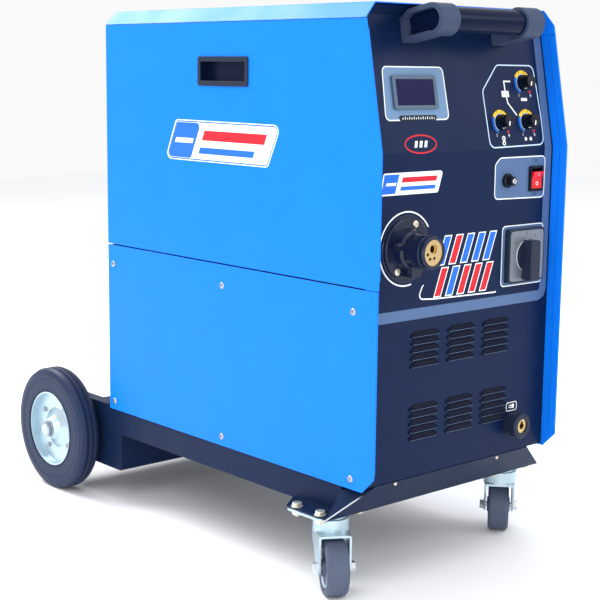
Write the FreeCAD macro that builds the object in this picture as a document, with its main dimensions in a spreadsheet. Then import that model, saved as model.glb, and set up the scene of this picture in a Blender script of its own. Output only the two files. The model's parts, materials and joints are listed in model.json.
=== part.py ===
import FreeCAD, Part
import math
import os
import re
import Sketcher

# MIG welder on a cart. +X is the machine's right, the front faces -Y, +Z is up, and the
# origin is on the floor under the middle of the machine's box. Every piece is drawn in the
# cabinet's own measure: x from the middle, y back from the side panels' front edge, z up
# from the floor. The placement then moves it forward by originBack.

SIZES = {
    # cabinet
    "originBack": (395.75, "side panels' front edge to the origin"),
    "cabWidth": (366.0, "outside width over the side panels"),
    "cabDepth": (602.0, "side panels, front edge to rear edge"),
    "cabRise": (620.5, "panels' lower edge to the top of the roof"),
    "bendRise": (435.5, "panels' lower edge to the bend where the front leans back"),
    "seamRise": (264.5, "panels' lower edge to the seam under the door"),
    "frontLean": (34.8, "how far the front edge leans back at the roof"),
    "roofChamfer": (20.0, "roof's sloping side strips"),
    "cornerCut": (21.5, "cut at the panels' lower front corner"),
    "skin": (1.2, "panel sheet"),
    "seamGap": (2.0, "gap between door and lower panel"),
    "doorAhead": (2.0, "door's front edge ahead of the lower panel's"),
    "fitGap": (0.3, "clearance between sheets that lie side by side"),
    "hemWidth": (11.0, "folded hem along the panels' front edge"),
    "recess": (24.5, "front panel behind the side panels' front edge"),
    "rearRecess": (2.0, "rear panel ahead of the side panels' rear edge"),
    "faceSheet": (1.5, "front, rear and inner walls' sheet"),
    "sideReturn": (24.0, "folded returns of the front and rear panels"),
    # base
    "baseSheet": (2.0, "base pan sheet"),
    "casterHeight": (111.5, "floor to the underside of the base pan"),
    "railDepth": (39.5, "rail below the side panels' lower edge"),
    "railInset": (2.5, "rail's web inside the cabinet's side"),
    "railLip": (3.7, "tray rail's top above the panels' lower edge"),
    "railFlange": (20.0, "tray rail's inward flange"),
    "railUpstand": (24.0, "rail's hidden upstand behind the side panels"),
    "trayEnd": (800.0, "panels' front edge to the tray's rear edge"),
    "wingX": (214.0, "caster wing's outer edge"),
    "wingBack": (133.0, "caster wing's outer rear corner"),
    "wingRoot": (157.0, "caster wing's rear corner at the rail"),
    "apronTopX": (151.0, "half width of the apron at its top"),
    "apronBottomBack": (54.5, "apron's lower edge behind the side panels' front edge"),
    "gussetBack": (61.5, "gusset's rear corner on the rail"),
    "gussetDrop": (5.0, "gusset's rear corner below the panels' lower edge"),
    "bracketFront": (575.0, "axle bracket's front wall"),
    "bracketLength": (185.0, "axle bracket, front wall to rear wall"),
    "bracketDrop": (60.0, "axle bracket below the base pan"),
    "bracketSheet": (3.0, "axle bracket sheet"),
    # rear wheels
    "wheelRadius": (100.0, "rear wheel"),
    "tyreWidth": (35.0, "rear tyre"),
    "tyreShoulder": (8.0, "rounding of the tyre's shoulders"),
    "rimRadius": (61.0, "tyre's seat on the rim"),
    "axleBack": (716.5, "axle behind the side panels' front edge"),
    "axleRadius": (10.0, "rear axle"),
    "wheelGap": (11.5, "rail's web to the tyre"),
    "hubProud": (1.0, "hub's end beyond the tyre's side"),
    "runFit": (0.05, "radial clearance of a turning fit"),
    # casters
    "casterX": (171.5, "swivel centres from the middle"),
    "casterBack": (91.0, "swivel centres behind the panels' front edge"),
    "plateShift": (6.0, "caster plate's middle behind the swivel centre"),
    "casterRadius": (38.0, "caster wheel"),
    "casterWidth": (30.0, "caster wheel"),
    "casterTrail": (26.0, "swivel axis to wheel axis"),
    "casterYawLeft": (-122.0, "left caster's heading at rest, degrees from +X"),
    "casterYawRight": (41.5, "right caster's heading at rest, degrees from +X"),
    "forkSheet": (3.0, "caster fork sheet"),
    "forkGap": (4.0, "fork leg to wheel"),
    "crownUnder": (80.5, "underside of the fork's crown above the floor"),
    "headRadius": (24.5, "swivel head"),
    "kingPin": (5.0, "king pin radius"),
    "boltAcross": (70.0, "caster bolts, side to side"),
    "boltAlong": (46.0, "caster bolts, front to back"),
    "boltRadius": (4.0, "caster bolts"),
    "casterAxle": (4.0, "caster axle bolt radius"),
    "raceTop": (101.0, "gap between swivel head and upper race above the floor"),
    # front panel and its fittings
    "louvreWidth": (54.0, "one louvre"),
    "louvrePitch": (10.2, "louvres, one above the other"),
    "louvreColumns": (70.3, "louvre blocks, side to side"),
    "louvreRows": (98.5, "louvre blocks, lower to upper"),
    "louvreLow": (53.4, "lowest louvre's lip above the panels' lower edge"),
    "louvreProud": (3.2, "louvre's lip ahead of the sheet"),
    "handleReach": (54.0, "handle tube's axis from the leaning face"),
    "handleUp": (160.0, "handle tube's axis up the leaning face from the bend"),
    "handleHalf": (99.0, "handle brackets' outer faces from the middle"),
    "bossLength": (33.0, "handle bracket's boss"),
    "bossRadius": (20.5, "handle bracket's boss"),
    "armWidth": (25.0, "handle bracket's arm, side to side"),
    "armWall": (6.4, "wall around the hollow in the arm"),
    "tubeRadius": (16.5, "handle tube"),
    "torchX": (-109.0, "torch socket from the middle"),
    "torchUp": (310.4, "torch socket above the panels' lower edge"),
    "torchFlange": (41.0, "torch socket's flange radius"),
    "torchBarrel": (22.4, "torch socket's barrel radius"),
    "torchProud": (49.5, "torch socket's front ahead of the panel"),
    "torchBore": (16.8, "torch socket's brass radius"),
    "earthX": (111.0, "earth socket from the middle"),
    "earthUp": (44.0, "earth socket above the panels' lower edge"),
    "earthRadius": (17.8, "earth socket's collar radius"),
    "earthProud": (23.0, "earth socket's collar ahead of the panel"),
    "selectorX": (123.0, "selector switch from the middle"),
    "selectorUp": (284.8, "selector switch above the panels' lower edge"),
    "selectorPlate": (66.0, "selector's face plate, square"),
    "fuseX": (84.7, "fuse holder from the middle"),
    "fuseUp": (389.8, "fuse holder above the panels' lower edge"),
    "rockerX": (144.5, "rocker switch from the middle"),
    "rockerUp": (390.3, "rocker switch above the panels' lower edge"),
    "rockerWide": (28.0, "rocker switch frame"),
    "rockerTall": (35.0, "rocker switch frame"),
    "meterX": (-87.5, "meter from the middle"),
    "meterUp": (77.0, "meter up the leaning face from the bend"),
    "meterWide": (80.0, "meter bezel"),
    "meterTall": (43.0, "meter bezel"),
    "knobFarX": (129.5, "upper and right knob from the middle"),
    "knobNearX": (75.3, "left knob from the middle"),
    "knobHighUp": (90.0, "upper knob up the leaning face"),
    "knobLowUp": (36.0, "lower knobs up the leaning face"),
    "knobRadius": (10.5, "control knobs"),
    "knobTall": (17.0, "control knobs"),
    "louvreTall": (8.8, "one louvre, lip to top"),
    "earthNeck": (13.0, "earth socket's body behind the collar, radius"),
    "selectorNeck": (11.0, "selector switch's neck radius"),
    "fuseNeck": (6.5, "fuse holder's neck radius"),
    "potNeck": (4.5, "potentiometer's threaded neck radius"),
    "shaftRadius": (3.0, "knob shafts"),
    "torchHole": (4.5, "torch plug's bore radius"),
    "torchPinUp": (4.7, "torch plug's bore above the socket's axis"),
    "torchHoleDeep": (30.0, "torch plug's bore"),
    "earthBrass": (10.3, "earth socket's brass radius"),
    "earthHole": (4.6, "earth plug's bore radius"),
    "earthHoleDeep": (18.0, "earth plug's bore"),
    "meterProud": (4.0, "meter bezel ahead of the face"),
    "meterFrame": (5.5, "meter bezel's frame round the window"),
    "fuseShaft": (4.0, "fuse cap's barrel radius"),
    "fuseCollar": (9.7, "fuse holder's collar radius"),
    "fuseCapRadius": (6.2, "fuse cap's radius"),
    "rockerWall": (3.2, "wall of the rocker's frame"),
    "rockerPivot": (3.0, "rocker's axis behind the face"),
    "pivotRadius": (1.8, "rocker's pivot stubs"),
    "rockerTilt": (10.0, "rocker's tilt either way"),
    "selectorGrip": (22.0, "selector's round base radius"),
    "selectorProud": (25.0, "selector's grip ahead of the face"),
    # screws
    "screwRadius": (2.0, "panel screws"),
    "screwHead": (4.8, "panel screws' heads, radius"),
    "screwFront": (43.0, "front column of side screws behind the panels' front edge"),
    "screwMiddle": (313.0, "middle column of side screws"),
    "screwEnd": (14.0, "rear column of side screws ahead of the panels' rear edge"),
    "screwLow": (164.5, "lower row of side screws above the floor"),
    "screwHigh": (384.5, "upper row of side screws above the floor"),
    # door
    "lugLength": (12.0, "hinge lug along the pin"),
    "lugX": (-160.0, "hinge lug's leg on the shelf"),
    "hingeInset": (4.5, "hinge axis inside the door's face and above its lower edge"),
    "hingePin": (1.5, "hinge pin radius"),
    "hingeEye": (3.0, "hinge eye radius"),
    "hingeLength": (24.0, "hinge eye"),
    "hingeFirst": (110.0, "first hinge behind the panels' front edge"),
    "hingeSpacing": (380.0, "hinge to hinge"),
    "pullBack": (312.0, "door pull's middle behind the panels' front edge"),
    "pullUp": (532.8, "door pull's middle above the panels' lower edge"),
    "pullLong": (111.6, "door pull's bezel"),
    "pullTall": (40.6, "door pull's bezel"),
    "pullDeep": (14.0, "door pull's pocket"),
    # wire side
    "wallX": (-45.0, "dividing wall's face on the wire side"),
    "shelfDrop": (8.5, "wire shelf below the seam"),
    "spoolX": (-115.0, "spool's middle from the cabinet's middle"),
    "spoolRadius": (150.0, "wire spool's flanges"),
    "spoolWidth": (100.0, "wire spool"),
    "spoolBore": (26.0, "wire spool's bore"),
    "spoolBack": (428.0, "spool's middle behind the panels' front edge"),
    "spoolUp": (424.0, "spool's middle above the panels' lower edge"),
    "windingRadius": (128.0, "wire on the spool"),
    "feederX": (-96.0, "feed plate's face towards the door"),
    "feederBack": (132.0, "drive roll's axis behind the panels' front edge"),
    "driveRadius": (15.0, "drive roll"),
    "pressRadius": (11.0, "pressure roll"),
    "wireGap": (0.8, "gap between the two rolls"),
    "rollWidth": (10.0, "feed rolls"),
    "motorRadius": (24.0, "feed motor"),
    "feedShaft": (4.0, "feed motor's shaft radius"),
    "guideRadius": (6.0, "wire guides"),
    "armPlate": (5.0, "pressure arm's plate"),
    "rollPin": (3.0, "pressure roll's pin radius"),
    "pivotPin": (4.0, "bore in the feed plate for the pressure arm's pin, radius"),
    "pivotOut": (40.0, "pressure arm's pin behind the drive roll"),
    "pivotRise": (24.0, "pressure arm's pin above the wire"),
    "screwStem": (2.5, "tension screw radius"),
    "hubBolt": (6.0, "bolt that holds the spool's hub"),
    # power side
    "coreWide": (170.0, "transformer core"),
    "coreDeep": (60.0, "transformer core"),
    "coreTall": (150.0, "transformer core"),
    "coreX": (60.0, "transformer's middle"),
    "coreBack": (300.0, "transformer's middle behind the panels' front edge"),
    "coreFoot": (8.0, "transformer's foot rails"),
    "legWide": (26.0, "core's legs and yokes"),
    "coilThick": (14.0, "winding on each leg"),
    "fanX": (68.0, "fan's middle"),
    "fanUp": (300.0, "fan's middle above the panels' lower edge"),
    "fanRadius": (72.0, "fan's blade tips"),
    # rear
    "slotPitch": (13.0, "fan grille's slots, one above the other"),
    "slotTall": (6.0, "fan grille's slots"),
    "glandX": (-110.0, "cable gland and gas inlet from the middle"),
    "glandUp": (60.0, "cable gland above the panels' lower edge"),
    "glandRadius": (9.0, "cable gland's neck"),
    "inletUp": (130.0, "gas inlet above the panels' lower edge"),
    "inletRadius": (5.0, "gas inlet's neck"),
    "cradleUp": (440.0, "cylinder bracket above the panels' lower edge"),
    "cradleReach": (62.0, "cylinder bracket behind the rear panel"),
    "cylinderRadius": (80.0, "hollow of the cylinder bracket"),
}

# Lengths that follow from the driving sizes.
DERIVED = {
    "halfWidth": "cabWidth / 2",
    "innerHalf": "halfWidth - skin",
    "railHalf": "halfWidth - railInset",
    "lipOuter": "innerHalf - fitGap",
    "lipInner": "lipOuter - skin",
    "lipLow": "shoulder - 12",
    "cabBottom": "casterHeight + railDepth",
    "cabTop": "cabBottom + cabRise",
    "shoulder": "cabTop - roofChamfer",
    "bend": "cabBottom + bendRise",
    "seam": "cabBottom + seamRise",
    "leanSlope": "frontLean / (cabRise - bendRise)",
    "lean": "atan(leanSlope)",
    "innerBend": "bend - recess * tan(lean / 2)",
    "panTop": "casterHeight + baseSheet",
    "rearFace": "cabDepth - rearRecess",
    "rearInner": "rearFace - faceSheet",
    "faceHalf": "innerHalf - fitGap",
    "doorLow": "seam + seamGap / 2",
    "hingeX": "-halfWidth + hingeInset",
    "hingeZ": "doorLow + hingeInset",
    "shelfTop": "seam - shelfDrop",
    "torchZ": "cabBottom + torchUp",
    "wheelIn": "railHalf + wheelGap",
    "forkHalf": "casterWidth / 2 + forkGap + forkSheet",
    "feederInner": "feederX + feederPlateThick",
    "feederPlateThick": "4",
    "spoolZ": "cabBottom + spoolUp",
    "bracketLow": "casterHeight - bracketDrop",
    "driveZ": "torchZ - driveRadius - wireGap / 2",
    "pressZ": "torchZ + pressRadius + wireGap / 2",
    "pullZ": "cabBottom + pullUp",
    "pivotBack": "feederBack + pivotOut",
    "pivotZ": "torchZ + pivotRise",
    "hubEnd": "wheelIn + tyreWidth + hubProud",
    "screwRear": "cabDepth - screwEnd",
    "sweep": "hingeInset * sqrt(2) + 0.5",
}

KNOB_SPOTS = {
    "knob_top": ("knobFarX", "knobHighUp"),
    "knob_left": ("knobNearX", "knobLowUp"),
    "knob_right": ("knobFarX", "knobLowUp"),
}
FRONT_SCREWS = [("screwFront", "screwLow"), ("screwFront", "screwHigh")]
REAR_SCREWS = [("screwRear", "screwLow"), ("screwRear", "screwHigh")]
RIGHT_SCREWS = [*FRONT_SCREWS, *REAR_SCREWS, ("screwMiddle", "screwLow")]
SIDE_SCREWS = [*RIGHT_SCREWS, ("screwMiddle", "screwHigh")]

TORCH_SCREWS = [("11.4", "32"), ("-20.2", "-27.6")]
CONTACT_HOLES = [("-10.2", "-1.6"), ("-5.8", "-7.6"), ("1.9", "-7.1")]

doc = FreeCAD.newDocument("WelderOnCart")
sheet = doc.addObject("Spreadsheet::Sheet", "Sizes")
for row, (alias, (number, note)) in enumerate(SIZES.items(), start=1):
    sheet.set(f"A{row}", note)
    sheet.set(f"B{row}", str(number))
    sheet.setAlias(f"B{row}", alias)
doc.recompute()

vector = FreeCAD.Vector
pieces = {}


# ---- small tools ------------------------------------------------------------------------

def bound(text):
    """Opens up derived lengths and puts the sheet's name before each size."""
    def expand(match):
        word = match.group(0)
        if word in DERIVED:
            return "(" + bound(DERIVED[word]) + ")"
        return "Sizes." + word if word in SIZES else word
    return re.sub(r"[A-Za-z]\w*", expand, str(text))


def value(text):
    result = sheet.evalExpression(bound(text))
    return float(getattr(result, "Value", result))


def minus(text):
    return f"-({text})"


def edgeY(z):
    """Front edge of the leaning side panels at height z."""
    return f"(leanSlope * (({z}) - bend))"


def faceY(z):
    """Face of the leaning part of the front panel at height z."""
    return f"(recess + leanSlope * (({z}) - innerBend))"


def upFace(up):
    """Height of a point the given distance up the leaning face from its bend."""
    return f"(innerBend + ({up}) * cos(lean))"


def bindPlacement(item, x, y, z, axis=(0, 0, 1), angle="0"):
    item.Placement = FreeCAD.Placement(vector(), FreeCAD.Rotation(vector(*axis), 1))
    item.setExpression("Placement.Base.x", bound(x))
    item.setExpression("Placement.Base.y", bound(f"({y}) - originBack"))
    item.setExpression("Placement.Base.z", bound(z))
    item.setExpression("Placement.Rotation.Angle", bound(angle))
    if angle == "0":
        item.Placement.Rotation = FreeCAD.Rotation()


def newBody(label, x="0", y="0", z="0", axis=(0, 0, 1), angle="0"):
    body = doc.addObject("PartDesign::Body", label)
    body.Label = label
    bindPlacement(body, x, y, z, axis, angle)
    pieces[label] = body
    return body


def leaningBody(label, across="0", up="0"):
    """A body drawn on the leaning face: x across, z up the face, -y outwards."""
    y = f"recess + ({up}) * sin(lean)"
    return newBody(label, across, y, upFace(up), (-1, 0, 0), "lean")


def originPart(body, role):
    return next(part for part in body.Origin.OriginFeatures if part.Role == role)


def newSketch(body, plane, start):
    sketch = body.newObject("Sketcher::SketchObject", "Sketch")
    sketch.AttachmentSupport = [(originPart(body, plane), "")]
    sketch.MapMode = "FlatFace"
    offset = minus(start) if plane == "XZ_Plane" else start
    sketch.setExpression("AttachmentOffset.Base.z", bound(offset))
    return sketch


def pin(sketch, geometry, end, across, up):
    """Ties one point of the sketch to two expressions."""
    for kind, text in (("DistanceX", across), ("DistanceY", up)):
        constraint = Sketcher.Constraint(kind, -1, 1, geometry, end, value(text))
        index = sketch.addConstraint(constraint)
        sketch.setExpression(f"Constraints[{index}]", bound(text))


def setRadius(sketch, geometry, radius):
    index = sketch.addConstraint(Sketcher.Constraint("Radius", geometry, value(radius)))
    sketch.setExpression(f"Constraints[{index}]", bound(radius))


def addLine(sketch, start, end):
    ends = [vector(value(a), value(b), 0) for a, b in (start, end)]
    return sketch.addGeometry(Part.LineSegment(*ends))


def addArc(sketch, first, last, radius, centre):
    """An arc from the end of line `first` to the start of line `last`, anticlockwise."""
    startPoint = sketch.getPoint(*first)
    endPoint = sketch.getPoint(*last)
    middle = vector(*centre, 0)
    angles = [math.atan2(p.y - middle.y, p.x - middle.x) for p in (startPoint, endPoint)]
    if angles[1] < angles[0]:
        angles[1] += 2 * math.pi
    circle = Part.Circle(middle, vector(0, 0, 1), (startPoint - middle).Length)
    arc = sketch.addGeometry(Part.ArcOfCircle(circle, *angles))
    sketch.addConstraint(Sketcher.Constraint("Coincident", arc, 1, *first))
    sketch.addConstraint(Sketcher.Constraint("Coincident", arc, 2, *last))
    setRadius(sketch, arc, radius)
    return arc


def outline(*points):
    """A closed outline of straight lines."""
    def draw(sketch):
        lines = [addLine(sketch, a, b) for a, b in zip(points, points[1:] + points[:1])]
        for line, following in zip(lines, lines[1:] + lines[:1]):
            sketch.addConstraint(Sketcher.Constraint("Coincident", line, 2, following, 1))
        for line, (across, up) in zip(lines, points):
            pin(sketch, line, 1, across, up)
    return draw


def rectangle(left, right, low, high):
    return outline((left, low), (right, low), (right, high), (left, high))


def roundRectangle(left, right, low, high, radius):
    """A rectangle with rounded corners."""
    def draw(sketch):
        r = radius
        sides = [((f"{left} + {r}", low), (f"{right} - ({r})", low)),
                 ((right, f"{low} + {r}"), (right, f"{high} - ({r})")),
                 ((f"{right} - ({r})", high), (f"{left} + {r}", high)),
                 ((left, f"{high} - ({r})"), (left, f"{low} + {r}"))]
        lines = [addLine(sketch, *side) for side in sides]
        for line, side in zip(lines, sides):
            pin(sketch, line, 1, *side[0])
            pin(sketch, line, 2, *side[1])
        middles = [(f"{right} - ({r})", f"{low} + {r}"), (f"{right} - ({r})", f"{high} - ({r})"),
                   (f"{left} + {r}", f"{high} - ({r})"), (f"{left} + {r}", f"{low} + {r}")]
        for line, following, (a, b) in zip(lines, lines[1:] + lines[:1], middles):
            addArc(sketch, (line, 2), (following, 1), r, (value(a), value(b)))
    return draw


def disc(across, up, radius):
    def draw(sketch):
        centre = vector(value(across), value(up), 0)
        circle = sketch.addGeometry(Part.Circle(centre, vector(0, 0, 1), value(radius)))
        pin(sketch, circle, 3, across, up)
        setRadius(sketch, circle, radius)
    return draw


def hexagon(across, up, flats, turn=0):
    """A hexagon with the given size across its flats."""
    corners = []
    for side in range(6):
        angle = math.radians(60 * side + turn)
        reach = f"({flats}) / {math.sqrt(3):.6f}"
        corners.append((f"{across} + {reach} * {math.cos(angle):.6f}",
                        f"{up} + {reach} * {math.sin(angle):.6f}"))
    return outline(*corners)


def extrude(body, plane, start, length, *drawings, cut=False):
    """Pads, or cuts, from `start` along the plane's axis towards its positive end."""
    sketch = newSketch(body, plane, start)
    for draw in drawings:
        draw(sketch)
    feature = body.newObject("PartDesign::Pocket" if cut else "PartDesign::Pad", "Extrude")
    feature.Profile = sketch
    feature.setExpression("Length", bound(length))
    feature.Reversed = (plane == "XZ_Plane") != cut
    sketch.Visibility = False
    return feature


def cutOut(body, plane, start, length, *drawings):
    return extrude(body, plane, start, length, *drawings, cut=True)


def revolve(body, plane, axis, *drawings):
    """Turns a profile once round one of the body's own axes."""
    sketch = newSketch(body, plane, "0")
    for draw in drawings:
        draw(sketch)
    feature = body.newObject("PartDesign::Revolution", "Turned")
    feature.Profile = sketch
    feature.ReferenceAxis = (originPart(body, axis), [""])
    feature.Angle = 360
    return feature


def repeat(body, axis, features, length, count):
    pattern = body.newObject("PartDesign::LinearPattern", "Row")
    pattern.Originals = features
    pattern.Direction = (originPart(body, axis), [""])
    pattern.setExpression("Length", bound(length))
    pattern.Occurrences = count
    body.Tip = pattern
    return pattern


def polar(body, axis, features, count):
    pattern = body.newObject("PartDesign::PolarPattern", "Ring")
    pattern.Originals = features
    pattern.Axis = (originPart(body, axis), [""])
    pattern.Angle = 360
    pattern.Occurrences = count
    body.Tip = pattern
    return pattern


def mirror(body, plane, features):
    twin = body.newObject("PartDesign::Mirrored", "Twin")
    twin.Originals = features
    twin.MirrorPlane = (originPart(body, plane), [""])
    body.Tip = twin
    return twin


def parallel(edge, axis):
    """True for a straight edge along one of the body's axes."""
    if not isinstance(edge.Curve, Part.Line):
        return False
    return abs(edge.Curve.Direction.dot(axis)) > 0.9999


def roundEdges(body, radius, test):
    """Fillets the edges of the body's last feature that pass the test."""
    doc.recompute()
    base = body.Tip
    names = [f"Edge{i}" for i, edge in enumerate(base.Shape.Edges, start=1) if test(edge)]
    feature = body.newObject("PartDesign::Fillet", "Round")
    feature.Base = (base, names)
    feature.setExpression("Radius", bound(radius))
    return feature


ALONG_X = vector(1, 0, 0)
ALONG_Y = vector(0, 1, 0)


# ---- base -------------------------------------------------------------------------------

def makeBasePan():
    body = newBody("base_pan")
    front = "apronBottomBack + 3"
    floor = [("-railHalf", "trayEnd"), ("-railHalf", "wingRoot"), ("-wingX", "wingBack"),
             ("-wingX", front), ("wingX", front), ("wingX", "wingBack"),
             ("railHalf", "wingRoot"), ("railHalf", "trayEnd")]
    extrude(body, "XY_Plane", "casterHeight", "baseSheet", outline(*floor))
    lip, upstand = "cabBottom + railLip", "cabBottom + railUpstand"
    step = "rearFace - sideReturn - 1"
    web = [(front, "casterHeight"), ("trayEnd", "casterHeight"), ("trayEnd", lip), (step, lip),
           (step, upstand), ("gussetBack + 1", upstand),
           ("gussetBack + 1", "cabBottom - gussetDrop - 4"),
           (front, "cabBottom - gussetDrop - 9")]
    flangeBack = "cabDepth + 14"
    flange = rectangle(flangeBack, "trayEnd", f"{lip} - baseSheet", lip)
    for start in ("-railHalf", "railHalf - baseSheet"):
        extrude(body, "YZ_Plane", start, "baseSheet", outline(*web))
    for start in ("-railHalf", "railHalf - railFlange"):
        extrude(body, "YZ_Plane", start, "railFlange", flange)
    # Holes for the casters' bolts, the rails' side screws and a drain in the tray.
    holes = [disc(x, y, "boltRadius + fitGap") for x, y in casterBoltSpots()]
    holes += [disc(x, "cabDepth + 120", 5) for x in ("-90", "90")]
    cutOut(body, "XY_Plane", "casterHeight - 1", "baseSheet + 2", *holes)
    cutOut(body, "YZ_Plane", "-railHalf - 1", "2 * railHalf + 2",
           disc("screwMiddle", "screwLow", "screwRadius + fitGap"))


def casterBoltSpots():
    spots = []
    for side in ("-", ""):
        for across in ("-", "+"):
            for along in ("-", "+"):
                spots.append((f"{side}casterX {across} boltAcross / 2",
                              f"casterBack + plateShift {along} boltAlong / 2"))
    return spots


def slab(corners, thick, inside):
    """A flat plate on the given corners, thickened towards the point `inside`."""
    face = Part.Face(Part.makePolygon(corners + corners[:1]))
    normal = face.normalAt(0, 0)
    if normal.dot(inside - corners[0]) < 0:
        normal = normal * -1
    return face.extrude(normal * thick)


def makeFrontApron():
    """The sloping apron: its two corner gussets lie in planes of their own."""
    low, top = value("casterHeight - 2"), value("cabBottom + 1.8")
    foot = value("apronBottomBack + 1.5")
    shapes = []
    thick, inside = value("baseSheet"), vector(0, value("gussetBack + 60"), value("cabBottom"))
    topX, lowX = value("apronTopX"), value("wingX + 1")
    front, rail = value("recess"), value("railHalf")
    shapes.append(slab([vector(-topX, front, top), vector(topX, front, top),
                        vector(lowX, foot, low), vector(-lowX, foot, low)], thick, inside))
    for side in (-1, 1):
        corners = [vector(side * topX, front, top), vector(side * lowX, foot, low),
                   vector(side * rail, value("gussetBack"), value("cabBottom - gussetDrop"))]
        shapes.append(slab(corners, thick, inside))
    shape = shapes[0].fuse(shapes[1:]).removeSplitter()
    for x, y in ((-116.0, 4.5), (88.0, 5.5)):
        start = vector(x, front - 20, top - y)
        shape = shape.cut(Part.makeCylinder(value("screwRadius + fitGap"), 60, start, ALONG_Y))
    item = doc.addObject("Part::Feature", "front_apron")
    item.Label = "front_apron"
    item.Shape = shape.Solids[0]
    item.Placement.Base = vector(0, value("-originBack"), 0)
    pieces["front_apron"] = item


def makeAxleBracket():
    body = newBody("axle_bracket")
    t = "bracketSheet"
    back = "bracketFront + bracketLength"
    extrude(body, "XY_Plane", "bracketLow", "bracketDrop",
            rectangle("-railHalf", "railHalf", "bracketFront", back))
    roundEdges(body, 4, lambda edge: parallel(edge, ALONG_X) and edge.BoundBox.ZMax < value(
        "bracketLow + 1"))
    cutOut(body, "XY_Plane", f"bracketLow + {t}", "bracketDrop",
           rectangle(f"-railHalf + {t}", f"railHalf - {t}", f"bracketFront + {t}",
                     f"{back} - {t}"))
    cutOut(body, "YZ_Plane", "-railHalf - 1", "2 * railHalf + 2",
           disc("axleBack", "wheelRadius", "axleRadius + fitGap"))


# ---- cabinet ----------------------------------------------------------------------------

def sideOutline(front, low, high, cut):
    """A side panel's outline: its front edge leans back above the bend."""
    lower = [(f"{front} + {cut}", low), ("cabDepth", low), ("cabDepth", high)]
    if value(high) > value("bend"):
        lower += [(f"{front} + {edgeY(high)}", high), (front, "bend")]
    else:
        lower += [(front, high)]
    return outline(*lower, (front, f"{low} + {cut}"))


def frontHem(body, start, front, low, high):
    """The sheet folded back on itself along the front edge."""
    back = f"{front} + hemWidth"
    points = [(front, low), (back, low)]
    if value(high) > value("bend"):
        points += [(back, "bend"), (f"{back} + {edgeY(high)}", high),
                   (f"{front} + {edgeY(high)}", high), (front, "bend")]
    else:
        points += [(back, high), (front, high)]
    extrude(body, "YZ_Plane", start, "skin", outline(*points))


def screwHoles(body, start, spots):
    holes = [disc(y, z, "screwRadius + fitGap") for y, z in spots]
    cutOut(body, "YZ_Plane", start, 8, *holes)


def bottomFold(body, side):
    """The panel's lower edge folded in to the rail."""
    edges = sorted((f"{side}halfWidth", f"{side}(railHalf + fitGap)"), key=value)
    extrude(body, "XY_Plane", "cabBottom", "skin",
            rectangle(edges[0], edges[1], "cornerCut + 8", "cabDepth"))


def makeLowerLeftPanel():
    body = newBody("lower_left_panel")
    high = "seam - seamGap / 2"
    extrude(body, "YZ_Plane", "-halfWidth", "skin",
            sideOutline("0", "cabBottom", high, "cornerCut"))
    frontHem(body, "-innerHalf", "0", "cabBottom + cornerCut + 6", high)
    bottomFold(body, "-")
    screwHoles(body, "-halfWidth - 1", SIDE_SCREWS)


def makeRightPanel():
    body = newBody("right_side_panel")
    extrude(body, "YZ_Plane", "innerHalf", "skin",
            sideOutline("0", "cabBottom", "shoulder - 0.5", "cornerCut"))
    frontHem(body, "innerHalf - skin", "0", "cabBottom + cornerCut + 6", "lipLow - 1")
    bottomFold(body, "")
    screwHoles(body, "innerHalf - 2", RIGHT_SCREWS)


def makeRoof():
    body = newBody("roof_panel")
    slant = "skin * 1.41"
    right = [("halfWidth", "shoulder"), ("lipOuter", "shoulder"), ("lipOuter", "lipLow"),
             ("lipInner", "lipLow"),
             ("lipInner", f"shoulder + halfWidth - {slant} - lipInner"),
             ("halfWidth - roofChamfer - 0.5", "cabTop - skin")]
    left = [(minus(x), z) for x, z in reversed(right)]
    top = [("-halfWidth + roofChamfer", "cabTop"), ("halfWidth - roofChamfer", "cabTop")]
    extrude(body, "XZ_Plane", "0", "cabDepth", outline(*right, *left, *top))
    low, high = "lipLow - 5", "cabTop + 5"
    cutOut(body, "YZ_Plane", "-halfWidth - 1", "cabWidth + 2",
           outline(("-40", low), (edgeY(low), low), (edgeY(high), high), ("-40", high)))


def trimCorners(body, start, length):
    """Clears the roof's lips and its sloping strips from a panel's upper corners."""
    inner = "lipInner - fitGap"
    points = [(inner, "lipLow - 1"), ("halfWidth + 5", "lipLow - 1"),
              ("halfWidth + 5", "cabTop + 5"), ("halfWidth - roofChamfer - 1", "cabTop + 5"),
              ("halfWidth - roofChamfer - 1", "cabTop - skin - fitGap"), (inner, "shoulder")]
    mirrored = [(minus(x), z) for x, z in points]
    cutOut(body, "XZ_Plane", start, length, outline(*points))
    cutOut(body, "XZ_Plane", start, length, outline(*mirrored))


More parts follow.
